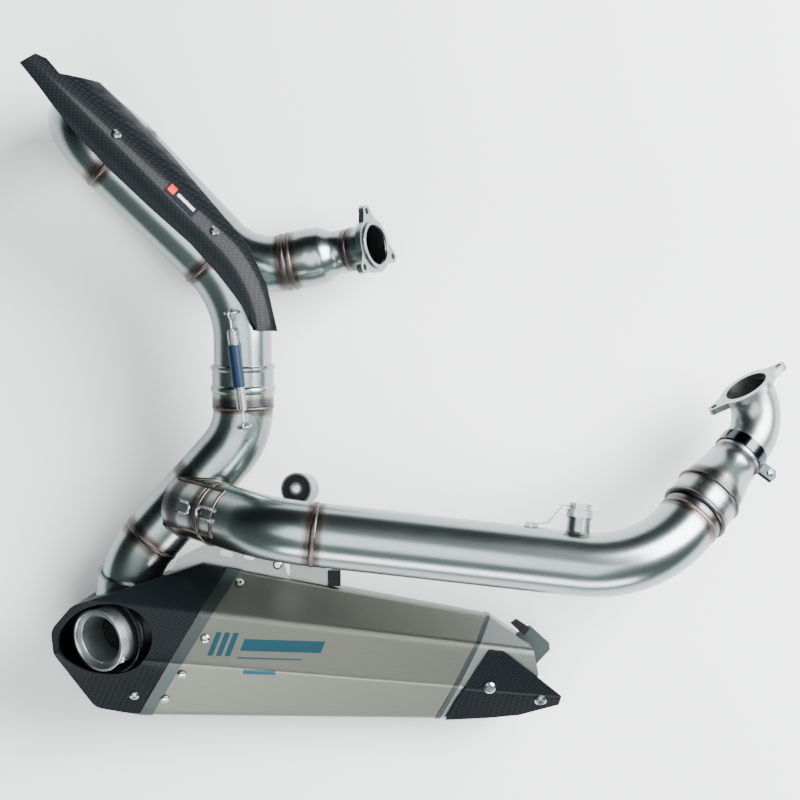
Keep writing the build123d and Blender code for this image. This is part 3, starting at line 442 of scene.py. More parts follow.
def titanium_finish(name, colour, roughness, print_colour):
    """Satin titanium sheet with a grain along the sleeve and printed bars in place of lettering."""
    finish = Finish(name, colour, roughness)
    grain = finish.noise(finish.places((24, 1100, 1100), (0, 0, radians(5))), 1.0, 3.0)
    clouds = finish.noise(finish.places(), 14.0, 3.0)
    mottled = finish.blend(clouds * 0.5, colour, shade_of(colour, 0.8))
    base = finish.blend(grain * 0.35, mottled, shade_of(colour, 0.55))
    x, y, z = finish.apart(finish.places(turn=(0, 0, radians(2.5))))
    left, foot, _ = at(-184, -268, 0)
    across_print, up_print = x - left, y - foot
    lean = across_print - up_print * 0.35
    tall = up_print.between(0.006, 0.030)
    slashes = [lean.between(start, start + 0.0055) * tall for start in (0.002, 0.0105, 0.019)]
    band = lean.between(0.032, 0.112) * up_print.between(0.012, 0.024)
    line = across_print.between(0.034, 0.098) * up_print.between(0.004, 0.0055)
    small = across_print.between(0.040, 0.072) * up_print.between(-0.012, -0.007)
    marks = (slashes[0] + slashes[1] + slashes[2] + band + line + small) * (z > 0.045)
    finish.set("Base Color", finish.blend(marks * 0.9, base, print_colour))
    finish.set("Roughness", roughness - 0.05 + grain * 0.12 + clouds * 0.04)
    finish.bump(grain, 0.00003)
    return finish.material


def carbon_finish(name, dark, light, pitch, turn, slant=0.6):
    """Clear-coated plain weave: tows cross in a checker, and each one gets a painted highlight along its
    rounded middle, fainter on the cross tows.
    """
    finish = Finish(name, dark, 0.32, 0.0, Coat_Roughness=0.1, Coat_Weight=0.07, Specular_IOR_Level=0.04)
    x, y, z = finish.apart(finish.places(turn=(0, 0, turn)))
    count = pi / (pitch * MM)
    warp = (x + z * slant) * count
    weft = (y - z * slant) * count
    over = (warp.sine() * weft.sine()) > 0.0
    # Painted highlight: each tow is made lighter along its rounded middle, the cross tows at 0.55 of it; the
    # same crown also gives the relief and roughness below.
    tow_relief_and_painted_highlight = over * warp.sine().size() + (1.0 - over) * weft.sine().size() * 0.55
    fibres = finish.noise(finish.places((700, 700, 700)), 1.0, 2.0)
    # The painted highlight colour is blended in along each tow's middle, over the dark resin.
    tow = finish.blend(tow_relief_and_painted_highlight * (0.75 + fibres * 0.5), dark, light)
    clouds = finish.noise(finish.places(), 16.0, 3.0)
    finish.set("Base Color", finish.blend(clouds * 0.45, tow, dark))
    finish.set("Roughness", 0.42 - tow_relief_and_painted_highlight * 0.14)
    finish.bump(tow_relief_and_painted_highlight, 0.00008, 0.6)
    return finish.material


def rubber_finish(name, colour, roughness=0.5):
    """Moulded rubber with a faint grain."""
    finish = Finish(name, colour, roughness, 0.0, Specular_IOR_Level=0.2)
    grain = finish.noise(finish.places(), 900.0, 3.0)
    finish.set("Base Color", finish.blend(grain * 0.3, colour, shade_of(colour, 1.8)))
    finish.set("Roughness", roughness - 0.05 + grain * 0.1)
    finish.bump(grain, 0.00005)
    return finish.material


def weld_finish(name, colour, roughness):
    """Weld metal: straw and blue patches over a rippled bead."""
    finish = Finish(name, colour, roughness)
    clouds = finish.noise(finish.places(), 60.0, 3.0)
    tint = finish.ramp(clouds, [(0.0, BLUE), (0.40, VIOLET), (0.50, BROWN), (0.62, colour), (1.0, STRAW)])
    finish.set("Base Color", finish.blend(0.6, colour, tint))
    finish.set("Roughness", roughness - 0.06 + clouds * 0.14)
    return finish.material


def wool_finish(name, colour):
    """Matted fibre."""
    finish = Finish(name, colour, 0.95, 0.0, Sheen_Weight=0.3)
    grain = finish.noise(finish.places((260, 1200, 700)), 1.0, 4.0)
    finish.set("Base Color", finish.blend(grain, colour, shade_of(colour, 0.6)))
    finish.bump(grain, 0.0004)
    return finish.material


# ---------------------------------------------------------------- settings

def length(name, description, value):
    """A length setting, given in millimetres."""
    return FloatProperty(name=name, description=description, default=value * MM, min=0.0, unit="LENGTH")


def tone(name, description, value):
    """A colour setting."""
    return FloatVectorProperty(name=name, description=description, default=value, min=0.0, max=1.0, size=3,
                               subtype="COLOR")


def share(name, description, value):
    """A setting from 0 to 1."""
    return FloatProperty(name=name, description=description, default=value, min=0.0, max=1.0,
                         subtype="FACTOR")


class ExhaustSizes(bpy.types.PropertyGroup):
    """Sizes of the pipes, joints and small parts."""
    rear_radius: length("Rear Tube Radius", "Outer radius of the rear header pipe", 29.0)
    front_radius: length("Front Tube Radius", "Outer radius of the front pipe", 31.0)
    collector_radius: length("Collector Radius", "Outer radius of the collector pipe", 30.0)
    rear_port_radius: length("Rear Port Radius", "Outer radius of the rear port spigot", 22.0)
    front_port_radius: length("Front Port Radius", "Outer radius of the front port elbow", 24.5)
    wall: length("Tube Wall", "Wall of the thin tubes", 1.5)
    port_wall: length("Port Elbow Wall", "Wall of the front port elbow", 2.2)
    socket_wall: length("Socket Wall", "Wall of the slip joint sockets", 1.8)
    slip_gap: length("Slip Gap", "Gap between a slip joint's tube and its socket", 0.06)
    lip_height: length("Lip Height", "Height of the rolled lips on the sockets", 1.6)
    bead_width: length("Weld Width", "Width of a weld bead", 5.2)
    bead_height: length("Weld Height", "Height of a weld bead over the tube", 0.9)
    ripple: length("Weld Ripple", "Distance between the ripples of a weld bead", 2.0)
    spring_radius: length("Spring Radius", "Outer radius of the coil spring", 5.2)
    spring_wire: length("Spring Wire", "Radius of the spring's wire", 0.85)
    spring_pitch: length("Spring Pitch", "Distance between turns of the spring", 2.0)
    sleeve_wall: length("Rubber Sleeve Wall", "Wall of the spring's rubber sleeve", 1.0)
    wire_radius: length("Lockwire Radius", "Radius of one strand of the lockwire", 0.42)
    wire_twist: length("Lockwire Twist", "Length of one whole twist of the lockwire", 7.0)
    weave: length("Weave Pitch", "Width of one tow of the carbon cloth", 2.1)
    heat_spread: length("Heat Spread", "How far the heat colours reach from a weld", 8.0)
    outlet_radius: length("Outlet Radius", "Outer radius of the outlet tip", 30.0)


class ExhaustColours(bpy.types.PropertyGroup):
    """Colours and roughness of the finishes."""
    steel: tone("Steel", "Polished stainless tube", (0.275, 0.330, 0.322))
    cast: tone("Port Steel", "Satin flanges and ports", (0.29, 0.335, 0.325))
    weld: tone("Weld", "Weld metal", (0.12, 0.105, 0.09))
    titanium: tone("Titanium", "Silencer sleeve", (0.135, 0.142, 0.122))
    cap: tone("Front Cap", "Silencer's formed front cap", (0.20, 0.225, 0.215))
    fastener: tone("Fasteners", "Bright screws and rivets", (0.42, 0.45, 0.45))
    carbon_dark: tone("Carbon Dark", "Resin between the carbon tows", (0.0006, 0.0009, 0.0014))
    # Colour of the painted highlight along the carbon tows.
    carbon_painted_highlight: tone("Carbon Light", "Lit side of the carbon tows", (0.012, 0.017, 0.020))
    rubber: tone("Rubber", "Spring sleeve", (0.001, 0.012, 0.034))
    black_rubber: tone("Black Rubber", "Bushes and stops", (0.004, 0.005, 0.006))
    print_teal: tone("Print", "Printed bars on the silencer", (0.006, 0.050, 0.072))
    wool: tone("Glass Fibre", "Packing round the silencer's cores", (0.80, 0.78, 0.68))
    floor: tone("Floor", "Studio floor", (0.93, 0.94, 0.94))
    steel_roughness: share("Steel Roughness", "Roughness of the polished tubes", 0.24)
    titanium_roughness: share("Titanium Roughness", "Roughness of the silencer's sleeve", 0.36)


class StudioSettings(bpy.types.PropertyGroup):
    """Camera and lamps."""
    camera_height: FloatProperty(name="Camera Height", description="Height of the camera over the floor",
                                 default=2.09, unit="LENGTH")
    lens: FloatProperty(name="Lens", description="Focal length in millimetres", default=90.0)
    key_power: FloatProperty(name="Key Lamp", description="Power of the large lamp in watts", default=235.0,
                             unit="POWER")
    sky: FloatProperty(name="Room Light", description="Strength of the studio's own light", default=0.95)


MATERIALS = {}


def finish_named(name, maker, *values, **constants):
    """The finish of that name, made the first time it is asked for."""
    if name not in MATERIALS:
        MATERIALS[name] = maker(name, *values, **constants)
    return MATERIALS[name]


def finishes(context):
    """Every finish by the name of the material slot or part that wears it."""
    tint, size = context.scene.exhaust_colours, context.scene.exhaust_sizes
    colour = {key: tuple(getattr(tint, key)) for key in
              ("steel", "cast", "weld", "titanium", "cap", "fastener", "carbon_dark", "carbon_painted_highlight",
               "rubber", "black_rubber", "print_teal", "wool")}
    cloth = colour["carbon_dark"], colour["carbon_painted_highlight"], size.weave / MM
    return {
        "stainless_steel": finish_named("Polished tube steel", pipe_finish, colour["steel"],
                                        tint.steel_roughness),
        "plain_steel": finish_named("Satin sheet steel", satin_finish, colour["steel"], 0.28),
        "weld_beads": finish_named("Tinted weld metal", weld_finish, colour["weld"], 0.30),
        "cast_steel": finish_named("Satin port steel", satin_finish, colour["cast"], 0.30),
        "dark_steel": finish_named("Polished dark band steel", satin_finish, (0.05, 0.062, 0.07), 0.14),
        "titanium_sleeve": finish_named("Satin titanium", titanium_finish, colour["titanium"],
                                        tint.titanium_roughness, colour["print_teal"]),
        "front_cap_metal": finish_named("Satin cap metal", satin_finish, colour["cap"], 0.34),
        "carbon_fibre": finish_named("Carbon cloth on the silencer", carbon_finish, *cloth, radians(12)),
        "shield_carbon": finish_named("Carbon cloth on the shield", carbon_finish, *cloth, radians(-45)),
        "bright_fasteners": finish_named("Bright fasteners", satin_finish, colour["fastener"], 0.20),
        "lockwire": finish_named("Bright lockwire", satin_finish, colour["fastener"], 0.24),
        "trim_metal": finish_named("Dark trim metal", satin_finish, (0.055, 0.066, 0.066), 0.36),
        "outlet_steel": finish_named("Satin outlet steel", satin_finish, (0.48, 0.54, 0.53), 0.36),
        "spring_steel": finish_named("Spring steel", satin_finish, (0.50, 0.53, 0.53), 0.26),
        "spring_sleeve": finish_named("Navy sleeve rubber", rubber_finish, colour["rubber"], 0.42),
        "rubber": finish_named("Black bush rubber", rubber_finish, colour["black_rubber"], 0.55),
        "glass_fibre": finish_named("Glass fibre wool", wool_finish, colour["wool"]),
        "soot": finish_named("Sooted bore", satin_finish, (0.035, 0.035, 0.035), 0.6, metallic=0.4),
    }


# ---------------------------------------------------------------- centrelines

REAR_LINE = [(-157, -1, 88), (-157, 106, 100), (-321, 268, 142), (-319, 304, 27.4), (-157, 134, 36),
             (-56, 152, 50), (-25, 157, 68)]
REAR_BENDS = [112, 50, 50, 72, 40]
COLLECTOR_LINE = [(-157, -3.98, 87.67), (-157, -34, 84.3), (-271, -162, 66), (-275, -199, 55)]
COLLECTOR_BENDS = [70, 85]
BRANCH_LINE = [(-182, -112, 114), (-122, -125, 165.3), (-85, -129.1, 166)]
BRANCH_BENDS = [92]
FRONT_LINE = [(-85, -129.1, 166), (239, -165, 172), (368, -20, 78)]
FRONT_BEND = 118
FRONT_SLIP = 82
PORT_CENTRE = (346, 14, 90)
PORT_BEND = 39
FLANGE_THICKNESS = 6
CONE_START, CONE_END = 31, 76


def along(start, way, distance):
    """Point of the drawing that lies a distance from start along way."""
    return np.array(start, float) + np.array(way, float) * distance


def way_of(start, end):
    """Direction from one point of the drawing to another."""
    return unit(np.array(end, float) - np.array(start, float))


def bend_stops(points, radii):
    """Distances in metres along a rounded line at which its bends begin and end. Each corner takes r tan(a/2)
    off both straight runs and puts back an arc of length r a."""
    spots = [np.array(point, float) for point in points]
    reach, stops, spare = 0.0, [], 0.0
    for before, corner, after, radius in zip(spots, spots[1:], spots[2:], radii):
        angle = np.arccos(np.clip(way_of(before, corner) @ way_of(corner, after), -1, 1))
        cut = radius * np.tan(angle / 2)
        reach += np.linalg.norm(corner - before) - spare - cut
        stops.append(reach * MM)
        reach += radius * angle
        stops.append(reach * MM)
        spare = cut
    return stops


FRONT_WAY = way_of(FRONT_LINE[1], FRONT_LINE[2])
FRONT_TUBE_END = along(FRONT_LINE[1], FRONT_WAY, FRONT_SLIP)
PORT_WAY = way_of(FRONT_LINE[2], PORT_CENTRE)
PORT_END = along(PORT_CENTRE, PORT_WAY, -FLANGE_THICKNESS)
SLIP_WAY = way_of(REAR_LINE[0], REAR_LINE[1])
BRANCH_WAY = way_of(BRANCH_LINE[0], BRANCH_LINE[1])
LONG_WAY = way_of(FRONT_LINE[0], FRONT_LINE[1])


def rear_track():
    """Centreline of the rear header."""
    return Track(rounded_path(REAR_LINE, REAR_BENDS, 900))


def collector_track():
    """Centreline of the collector and the link pipe."""
    return Track(rounded_path(COLLECTOR_LINE, COLLECTOR_BENDS))


def elbow_track():
    """Centreline of the elbow on the collector's branch."""
    return Track(rounded_path(BRANCH_LINE, BRANCH_BENDS))


def front_track():
    """Centreline of the long front pipe."""
    return Track(rounded_path([FRONT_LINE[0], FRONT_LINE[1], FRONT_TUBE_END], [FRONT_BEND], 600))


def port_track():
    """Centreline of the front header."""
    return Track(rounded_path([FRONT_TUBE_END, FRONT_LINE[2], PORT_END], [PORT_BEND]))


def pipe_mesh(name, track, start, end, outer, inner, welds=(), spread=0.01, step=2.0, sides=ROUND_SIDES):
    """Skin, lips and bore of one tube between two distances along its centreline, with its scorch field."""
    reach, radius = lip_profile(start, end, outer, inner, step)
    widest = float(np.max(radius))
    rows = np.r_[0, np.cumsum(np.hypot(np.diff(reach), np.diff(radius)))]
    rows = np.r_[rows, rows[-1] + np.hypot(reach[0] - reach[-1], radius[0] - radius[-1])]
    return skin(name, carried(track, reach, radius, sides), fields={"scorch": heat_at(reach, welds, spread)},
                uv_scale=(2 * pi * widest / sides, rows))


def stepped(*pairs):
    """A radius that runs straight between (distance, radius) pairs, smoothed by cosine steps."""
    places = np.array([pair[0] for pair in pairs]) * MM
    values = np.array([pair[1] for pair in pairs]) * MM

    def radius(reach):
        index = np.clip(np.searchsorted(places, reach, "right") - 1, 0, len(places) - 2)
        gap = np.maximum(places[index + 1] - places[index], 1e-9)
        share_of = np.clip((reach - places[index]) / gap, 0, 1)
        share_of = (1 - np.cos(share_of * pi)) / 2
        return values[index] + (values[index + 1] - values[index]) * share_of
    return radius


# ---------------------------------------------------------------- pieces

def settings(context):
    """Sizes in metres and the finishes."""
    return context.scene.exhaust_sizes, finishes(context)


def bead_mesh(name, track, middle, tube, width, height, ripple, sides=420):
    """Weld bead: a low half round ring with ripples drawn into arrowheads across its width. For t from -1 to
    1 across it, r = tube + height (1 - t^2)^0.7 (0.74 + 0.26 |cos(n v / 2 + 1.1 t^2)| + a small wobble), and
    rows buried in the tube close it."""
    count = max(int(round(2 * pi * tube / ripple)), 8)
    sides = max(sides, count * 5)
    across_bead = np.linspace(-1, 1, 11)
    turn = np.arange(sides) / sides * 2 * pi
    dome = np.maximum(1 - across_bead ** 2, 0) ** 0.7
    wobble = 0.12 * np.sin(turn * 7) + 0.08 * np.sin(turn * 17 + 1)
    chevron = np.abs(np.cos(count * turn[None] / 2 + 1.1 * across_bead[:, None] ** 2))
    radius = tube - 0.0001 + height * dome[:, None] * (0.74 + 0.26 * chevron + 0.5 * wobble[None])
    radius = np.vstack([radius, np.full((2, sides), tube - 0.0005)])
    reach = middle + np.r_[across_bead, 1, -1] * width / 2
    return skin(name, carried(track, reach, radius, sides), sharp=BEAD_EDGE)


def tube_bead(name, track, middle, tube, size):
    """Weld bead of the usual width and height."""
    return bead_mesh(name, track, middle, tube, size.bead_width, size.bead_height, size.ripple)


def wire_mesh(name, path, radius, sides):
    """A round wire carried along its own centreline, closed at both ends."""
    grid = carried(path, path.reach, radius, sides)
    return skin(name, grid, loop_rows=False, caps=True, sharp=WIRE_EDGE)


def socket_radii(size, tube):
    """Bore, skin and lip radius in millimetres of the slip socket that fits round a tube."""
    inner = tube / MM + size.slip_gap / MM
    outer = inner + size.socket_wall / MM
    return inner, outer, outer + size.lip_height / MM


def lathe_mesh(name, track, profile, sides=ROUND_SIDES, welds=(), spread=0.01):
    """A closed loop of (radius, distance) pairs in millimetres turned round a straight track."""
    radius, reach = np.array(profile, float).T * MM
    steps = 4
    share_of = np.arange(steps) / steps
    reach = (reach[:, None] + (np.roll(reach, -1) - reach)[:, None] * share_of).ravel()
    radius = (radius[:, None] + (np.roll(radius, -1) - radius)[:, None] * share_of).ravel()
    rows = np.r_[0, np.cumsum(np.hypot(np.diff(reach), np.diff(radius)))]
    rows = np.r_[rows, rows[-1] + 0.001]
    return skin(name, carried(track, reach, radius, sides), fields={"scorch": heat_at(reach, welds, spread)},
                uv_scale=(2 * pi * float(radius.max()) / sides, rows))


class PieceOperator:
    """What every piece's operator shares."""
    bl_options = {"REGISTER", "UNDO"}

    def execute(self, context):
        self.build(context, *settings(context))
        return {"FINISHED"}


class EXHAUST_OT_rear_header(PieceOperator, bpy.types.Operator):
    """Rear header: the down pipe, front leg, U bend, back leg, port cone and port spigot on one centreline"""
    bl_idname = "exhaust.rear_header"
    bl_label = "Rear Header Pipes"

    def build(self, context, size, wear):
        track = rear_track()
        stops = bend_stops(REAR_LINE, REAR_BENDS)
        tube, port = size.rear_radius, size.rear_port_radius
        cone_from = stops[7] + 12 * MM
        cone_to = stops[8]
        cone = cone_to - cone_from
        swell = stepped((stops[7] / MM, tube / MM), (cone_from / MM, tube / MM),
                        ((cone_from + cone * 0.35) / MM, tube / MM + 1),
                        ((cone_from + cone * 0.6) / MM, tube / MM), (cone_to / MM, port / MM))
        welds = [stops[1] + 1 * MM, stops[2] - 3 * MM, stops[5] + 3 * MM, stops[7] + 3 * MM,
                 cone_from - 2.4 * MM, stops[9] + 3 * MM, 0.0]
        cuts = [("rear_down_tube", 0.0, stops[1], tube, "rear_down_pipe"),
                ("rear_leg_tube", stops[1], stops[2], tube, "rear_front_leg"),
                ("rear_bend_tube", stops[2], stops[5], tube, "rear_u_bend"),
                ("rear_return_tube", stops[5], stops[7], tube, "rear_back_leg"),
                ("rear_cone", stops[7], cone_to, swell, "rear_port_cone"),
                ("rear_spigot", cone_to, track.length, port, "rear_port_spigot")]
        for name, start, end, radius, node in cuts:
            bore = (lambda s, r=radius: r(s) - size.wall) if callable(radius) else radius - size.wall
            mesh = pipe_mesh(name, track, start, end, radius, bore, welds, size.heat_spread)
            place_piece(name, mesh, "rear_header", wear["stainless_steel"], [node])
        lip_r = port + 2.2 * MM
        mesh = pipe_mesh("rear_spigot_lip", track, track.length - 0.1 * MM, track.length + 2 * MM, lip_r,
                         port - size.wall, step=0.5)
        place_piece("rear_spigot_lip", mesh, "rear_header", wear["stainless_steel"])
        beads = [tube_bead(f"rear_bead_{index}", track, weld, tube, size)
                 for index, weld in enumerate(welds[:5])]
        beads.append(bead_mesh("rear_bead_port", track, welds[5], port, 3.6 * MM, 0.8 * MM, size.ripple))
        place_piece("rear_welds", merged("rear_welds", beads), "rear_header",
                    wear["weld_beads"], ["rear_weld_beads"])


class EXHAUST_OT_collector(PieceOperator, bpy.types.Operator):
    """Collector: the slip socket, the collector pipe, its branch and the link pipe to the silencer"""
    bl_idname = "exhaust.collector"
    bl_label = "Collector"

    def build(self, context, size, wear):
        track = collector_track()
        stops = bend_stops(COLLECTOR_LINE, COLLECTOR_BENDS)
        tube = size.collector_radius
        joint_weld, low_weld = -0.0001, stops[2] - 2.6 * MM
        saddle = 0.5 * (stops[1] + stops[2]) - 0.02
        welds = [joint_weld, low_weld, saddle]
        for name, start, end, node in (("collector_tube", 0.0, stops[2], "collector_pipe"),
                                       ("link_tube", stops[2], track.length, "link_pipe")):
            mesh = pipe_mesh(name, track, start, end, tube, tube - size.wall, welds, size.heat_spread)
            place_piece(name, mesh, "collector", wear["stainless_steel"], [node])
        mouth = Track(at(*BRANCH_LINE[0]) + np.linspace(-46, 24, 60)[:, None] * MM * BRANCH_WAY)
        shoulder, spigot = size.front_radius, size.front_radius - size.wall - size.slip_gap
        step_down = stepped((0, shoulder / MM), (45.6, shoulder / MM), (46.2, spigot / MM), (70, spigot / MM))
        mesh = pipe_mesh("branch_tube", mouth, 0.0, 70 * MM, step_down, spigot - size.wall,
                         [46 * MM, 14 * MM], size.heat_spread, 1.0)
        place_piece("branch_tube", mesh, "collector", wear["stainless_steel"],
                    ["collector_branch"])
        inner, outer, lip = socket_radii(size, size.rear_radius)
        socket = straight(REAR_LINE[0], SLIP_WAY, 60)
        mesh = lathe_mesh("slip_socket_ring", socket, [
            (inner, -3), (outer, -3), (outer, 9), (lip - 0.4, 10.6), (lip, 11.6), (lip, 14.4),
            (lip - 0.4, 15.4), (outer, 17), (outer, 31), (lip - 0.4, 32.6), (lip, 33.4), (lip, 35.4),
            (outer + 0.3, 37), (inner, 37)],
            welds=[-3 * MM], spread=size.heat_spread)
        place_piece("slip_socket_ring", mesh, "collector", wear["stainless_steel"],
                    ["slip_socket"])
        beads = [bead_mesh("collector_bead_joint", socket, -5.4 * MM, tube, 4.0 * MM, 1.3 * MM, size.ripple),
                 tube_bead("collector_bead_low", track, low_weld, tube, size),
                 saddle_bead("collector_bead_saddle", mouth, track, shoulder, tube, size)]
        place_piece("collector_welds", merged("collector_welds", beads), "collector",
                    wear["weld_beads"], ["collector_beads"])


def saddle_bead(name, branch, track, branch_r, tube_r, size):
    """Weld along the line where the branch meets the collector: for each angle round the branch, the distance
    along it at which its skin leaves the collector, with a rippled round section carried along that line."""
    sides = 360
    reach = np.linspace(0, branch.length, 240)
    grid = carried(branch, reach, np.full(len(reach), branch_r), sides)
    gap = np.full(grid.shape[:2], np.inf)
    for centre in track.line[::3]:
        gap = np.minimum(gap, np.linalg.norm(grid - centre, axis=-1))
    outside = gap > tube_r
    leaves = len(reach) - np.argmax(~outside[::-1], axis=0)
    leaves = np.clip(leaves, 1, len(reach) - 1)
    low, high = gap[leaves - 1, np.arange(sides)], gap[leaves, np.arange(sides)]
    part = np.clip((tube_r - low) / np.maximum(high - low, 1e-9), 0, 1)
    line_at = reach[leaves - 1] + part * (reach[leaves] - reach[leaves - 1])
    centre, side, up = branch.at(line_at)
    turn = np.arange(sides) / sides * 2 * pi
    out = around(turn[:, None], side, up)
    line = centre + out * branch_r
    ahead = unit(np.roll(line, -1, axis=0) - np.roll(line, 1, axis=0))
    lift = np.cross(ahead, out)
    spin = np.arange(14) / 14 * 2 * pi
    lengths = np.r_[0, np.cumsum(np.linalg.norm(np.diff(line, axis=0), axis=1))]
    bead_r = 1.9 * MM * (0.88 + 0.12 * np.abs(np.cos(lengths / size.ripple * pi)))
    ring = around(spin[None, :, None], out[:, None], lift[:, None])
    return skin(name, line[:, None] + bead_r[:, None, None] * ring, sharp=BEAD_EDGE)


class EXHAUST_OT_front_pipe(PieceOperator, bpy.types.Operator):
    """Front pipe: the elbow on the collector's branch, the long pipe and the slip socket at its front end"""
    bl_idname = "exhaust.front_pipe"
    bl_label = "Front Pipe"

    def build(self, context, size, wear):
        tube = size.front_radius
        elbow = elbow_track()
        run = front_track()
        stops = bend_stops([FRONT_LINE[0], FRONT_LINE[1], FRONT_TUBE_END], [FRONT_BEND])
        welds = [2.6 * MM, stops[1] + 2.6 * MM]
        mesh = pipe_mesh("front_elbow_tube", elbow, 0.5 * MM, elbow.length, tube, tube - size.wall,
                         [3.2 * MM, elbow.length + 2.6 * MM], size.heat_spread)
        place_piece("front_elbow_tube", mesh, "front_pipe", wear["stainless_steel"],
                    ["front_elbow"])
        mesh = pipe_mesh("long_tube", run, 0.0, run.length, tube, tube - size.wall, welds + [run.length],
                         size.heat_spread)
        place_piece("long_tube", mesh, "front_pipe", wear["stainless_steel"],
                    ["front_long_pipe"])
        inner, outer, lip = socket_radii(size, tube)
        socket = straight(along(FRONT_TUBE_END, FRONT_WAY, -3), FRONT_WAY, 60)
        mesh = lathe_mesh("front_socket_ring", socket, [
            (inner - 0.06, 0), (outer, 0), (lip - 0.3, 1.2), (lip, 1.9), (lip, 4.1), (lip - 0.3, 4.8),
            (outer, 6), (outer, 25), (lip - 0.3, 26.2), (lip, 26.9), (lip, 28.6), (outer, 30), (inner, 30),
            (inner, 3), (inner - 0.06, 3)], welds=[0.0, 30 * MM], spread=size.heat_spread)
        place_piece("front_socket_ring", mesh, "front_pipe", wear["stainless_steel"],
                    ["front_slip_socket"])
        branch = straight(BRANCH_LINE[0], BRANCH_WAY, 60)
        beads = [bead_mesh("front_bead_branch", branch, 3.2 * MM, tube, 4.0 * MM, 1.4 * MM, size.ripple),
                 tube_bead("front_bead_elbow", run, welds[0], tube, size),
                 tube_bead("front_bead_bend", run, welds[1], tube, size)]
        place_piece("front_welds", merged("front_welds", beads), "front_pipe",
                    wear["weld_beads"], ["front_weld_beads"])
        boss = straight(LAMBDA_FOOT, LAMBDA_WAY, 60)
        ring = bead_mesh("boss_weld", boss, tube + 0.4 * MM, LAMBDA_BOSS * MM, 3.0 * MM, 1.2 * MM,
                         size.ripple, 120)
        place_piece("boss_weld", ring, "front_pipe", wear["weld_beads"])


LAMBDA_FOOT = (167, -158.5, 170.7)
LAMBDA_WAY = unit((0.11, 0.994, 0))
LAMBDA_BOSS = 11.5


class EXHAUST_OT_front_header(PieceOperator, bpy.types.Operator):
    """Front header: the cone that slips into the front pipe, and the port elbow behind its flange"""
    bl_idname = "exhaust.front_header"
    bl_label = "Front Header Pipes"

    def build(self, context, size, wear):
        track = port_track()
        tube, port = size.front_radius, size.front_port_radius
        span = CONE_END - CONE_START
        taper = stepped((1.5, tube / MM), (CONE_START, tube / MM), (CONE_START + span * 0.8, port / MM + 1.2),
                        (CONE_END, port / MM))
        mesh = pipe_mesh("front_cone_tube", track, 1.5 * MM, CONE_END * MM, taper,
                         lambda s: taper(s) - size.wall, [CONE_END * MM, 28 * MM], size.heat_spread)
        place_piece("front_cone_tube", mesh, "front_header", wear["stainless_steel"],
                    ["front_cone"])
        mesh = pipe_mesh("port_elbow_tube", track, CONE_END * MM, track.length, port, port - size.port_wall,
                         [CONE_END * MM], 6 * MM)
        place_piece("port_elbow_tube", mesh, "front_header", wear["cast_steel"],
                    ["front_port_elbow"])


class EXHAUST_OT_branch_hooks(PieceOperator, bpy.types.Operator):
    """Branch hooks: a bent wire loop welded to the skin on each side of the branch joint"""
    bl_idname = "exhaust.branch_hooks"
    bl_label = "Branch Hooks"

    def build(self, context, size, wear):
        elbow = elbow_track()
        mouth = straight(along(BRANCH_LINE[0], BRANCH_WAY, -30), BRANCH_WAY, 30)
        for name, track, start, leg, body, node in (
                ("elbow_hook_wire", elbow, 12.0, 15.0, "front_pipe", "front_spring_hook"),
                ("collector_hook_wire", mouth, 20.0, -13.0, "collector", "branch_spring_hook")):
            mesh = loop_on_skin(name, track, size.front_radius, start, leg, 5.5, 1.3)
            place_piece(name, mesh, body, wear["bright_fasteners"], [node])


def loop_on_skin(name, track, tube, start, leg, half_width, wire):
    """A wire bent to a U that lies on a tube's skin: distance along = start + leg (1 - t) on the legs and
    start - half width sin a round the bend, angle = lateral offset / tube radius, about the upward side. Its
    radius swells at both ends, where it is welded down."""
    legs = np.linspace(1, 0, 24)
    bend = np.linspace(0, pi, 42)[1:-1]
    turn_way = -np.sign(leg)
    reach = np.r_[start + leg * legs, start + turn_way * half_width * np.sin(bend), start + leg * legs[::-1]]
    offset = np.r_[np.full(24, half_width), half_width * np.cos(bend), np.full(24, -half_width)]
    lift = np.r_[np.zeros(24), 1.6 * np.sin(bend), np.zeros(24)]
    centre, side, up = track.at(reach * MM)
    angle = np.arctan2(up[:, 2], side[:, 2]) + offset * MM / tube
    out = around(angle[:, None], side, up)
    line = centre + (tube + (wire * 0.8 + lift[:, None]) * MM) * out
    path = Track(line)
    swell = np.exp(-(np.minimum(path.reach, path.length - path.reach) / (2.0 * MM)) ** 2)
    return wire_mesh(name, path, (wire + 0.9 * swell) * MM, 16)


UPPER_HOOK, LOWER_HOOK = (-166.43, 83.62, 137.97), (-152.8, -25.9, 126.05)
SPRING_NORMAL = (-0.23, -0.108, 0.966)
COIL_INSET = 14.0
HOOK_RADIUS = 4.0
RUBBER_FROM, RUBBER_TO = 30.0, 72.0


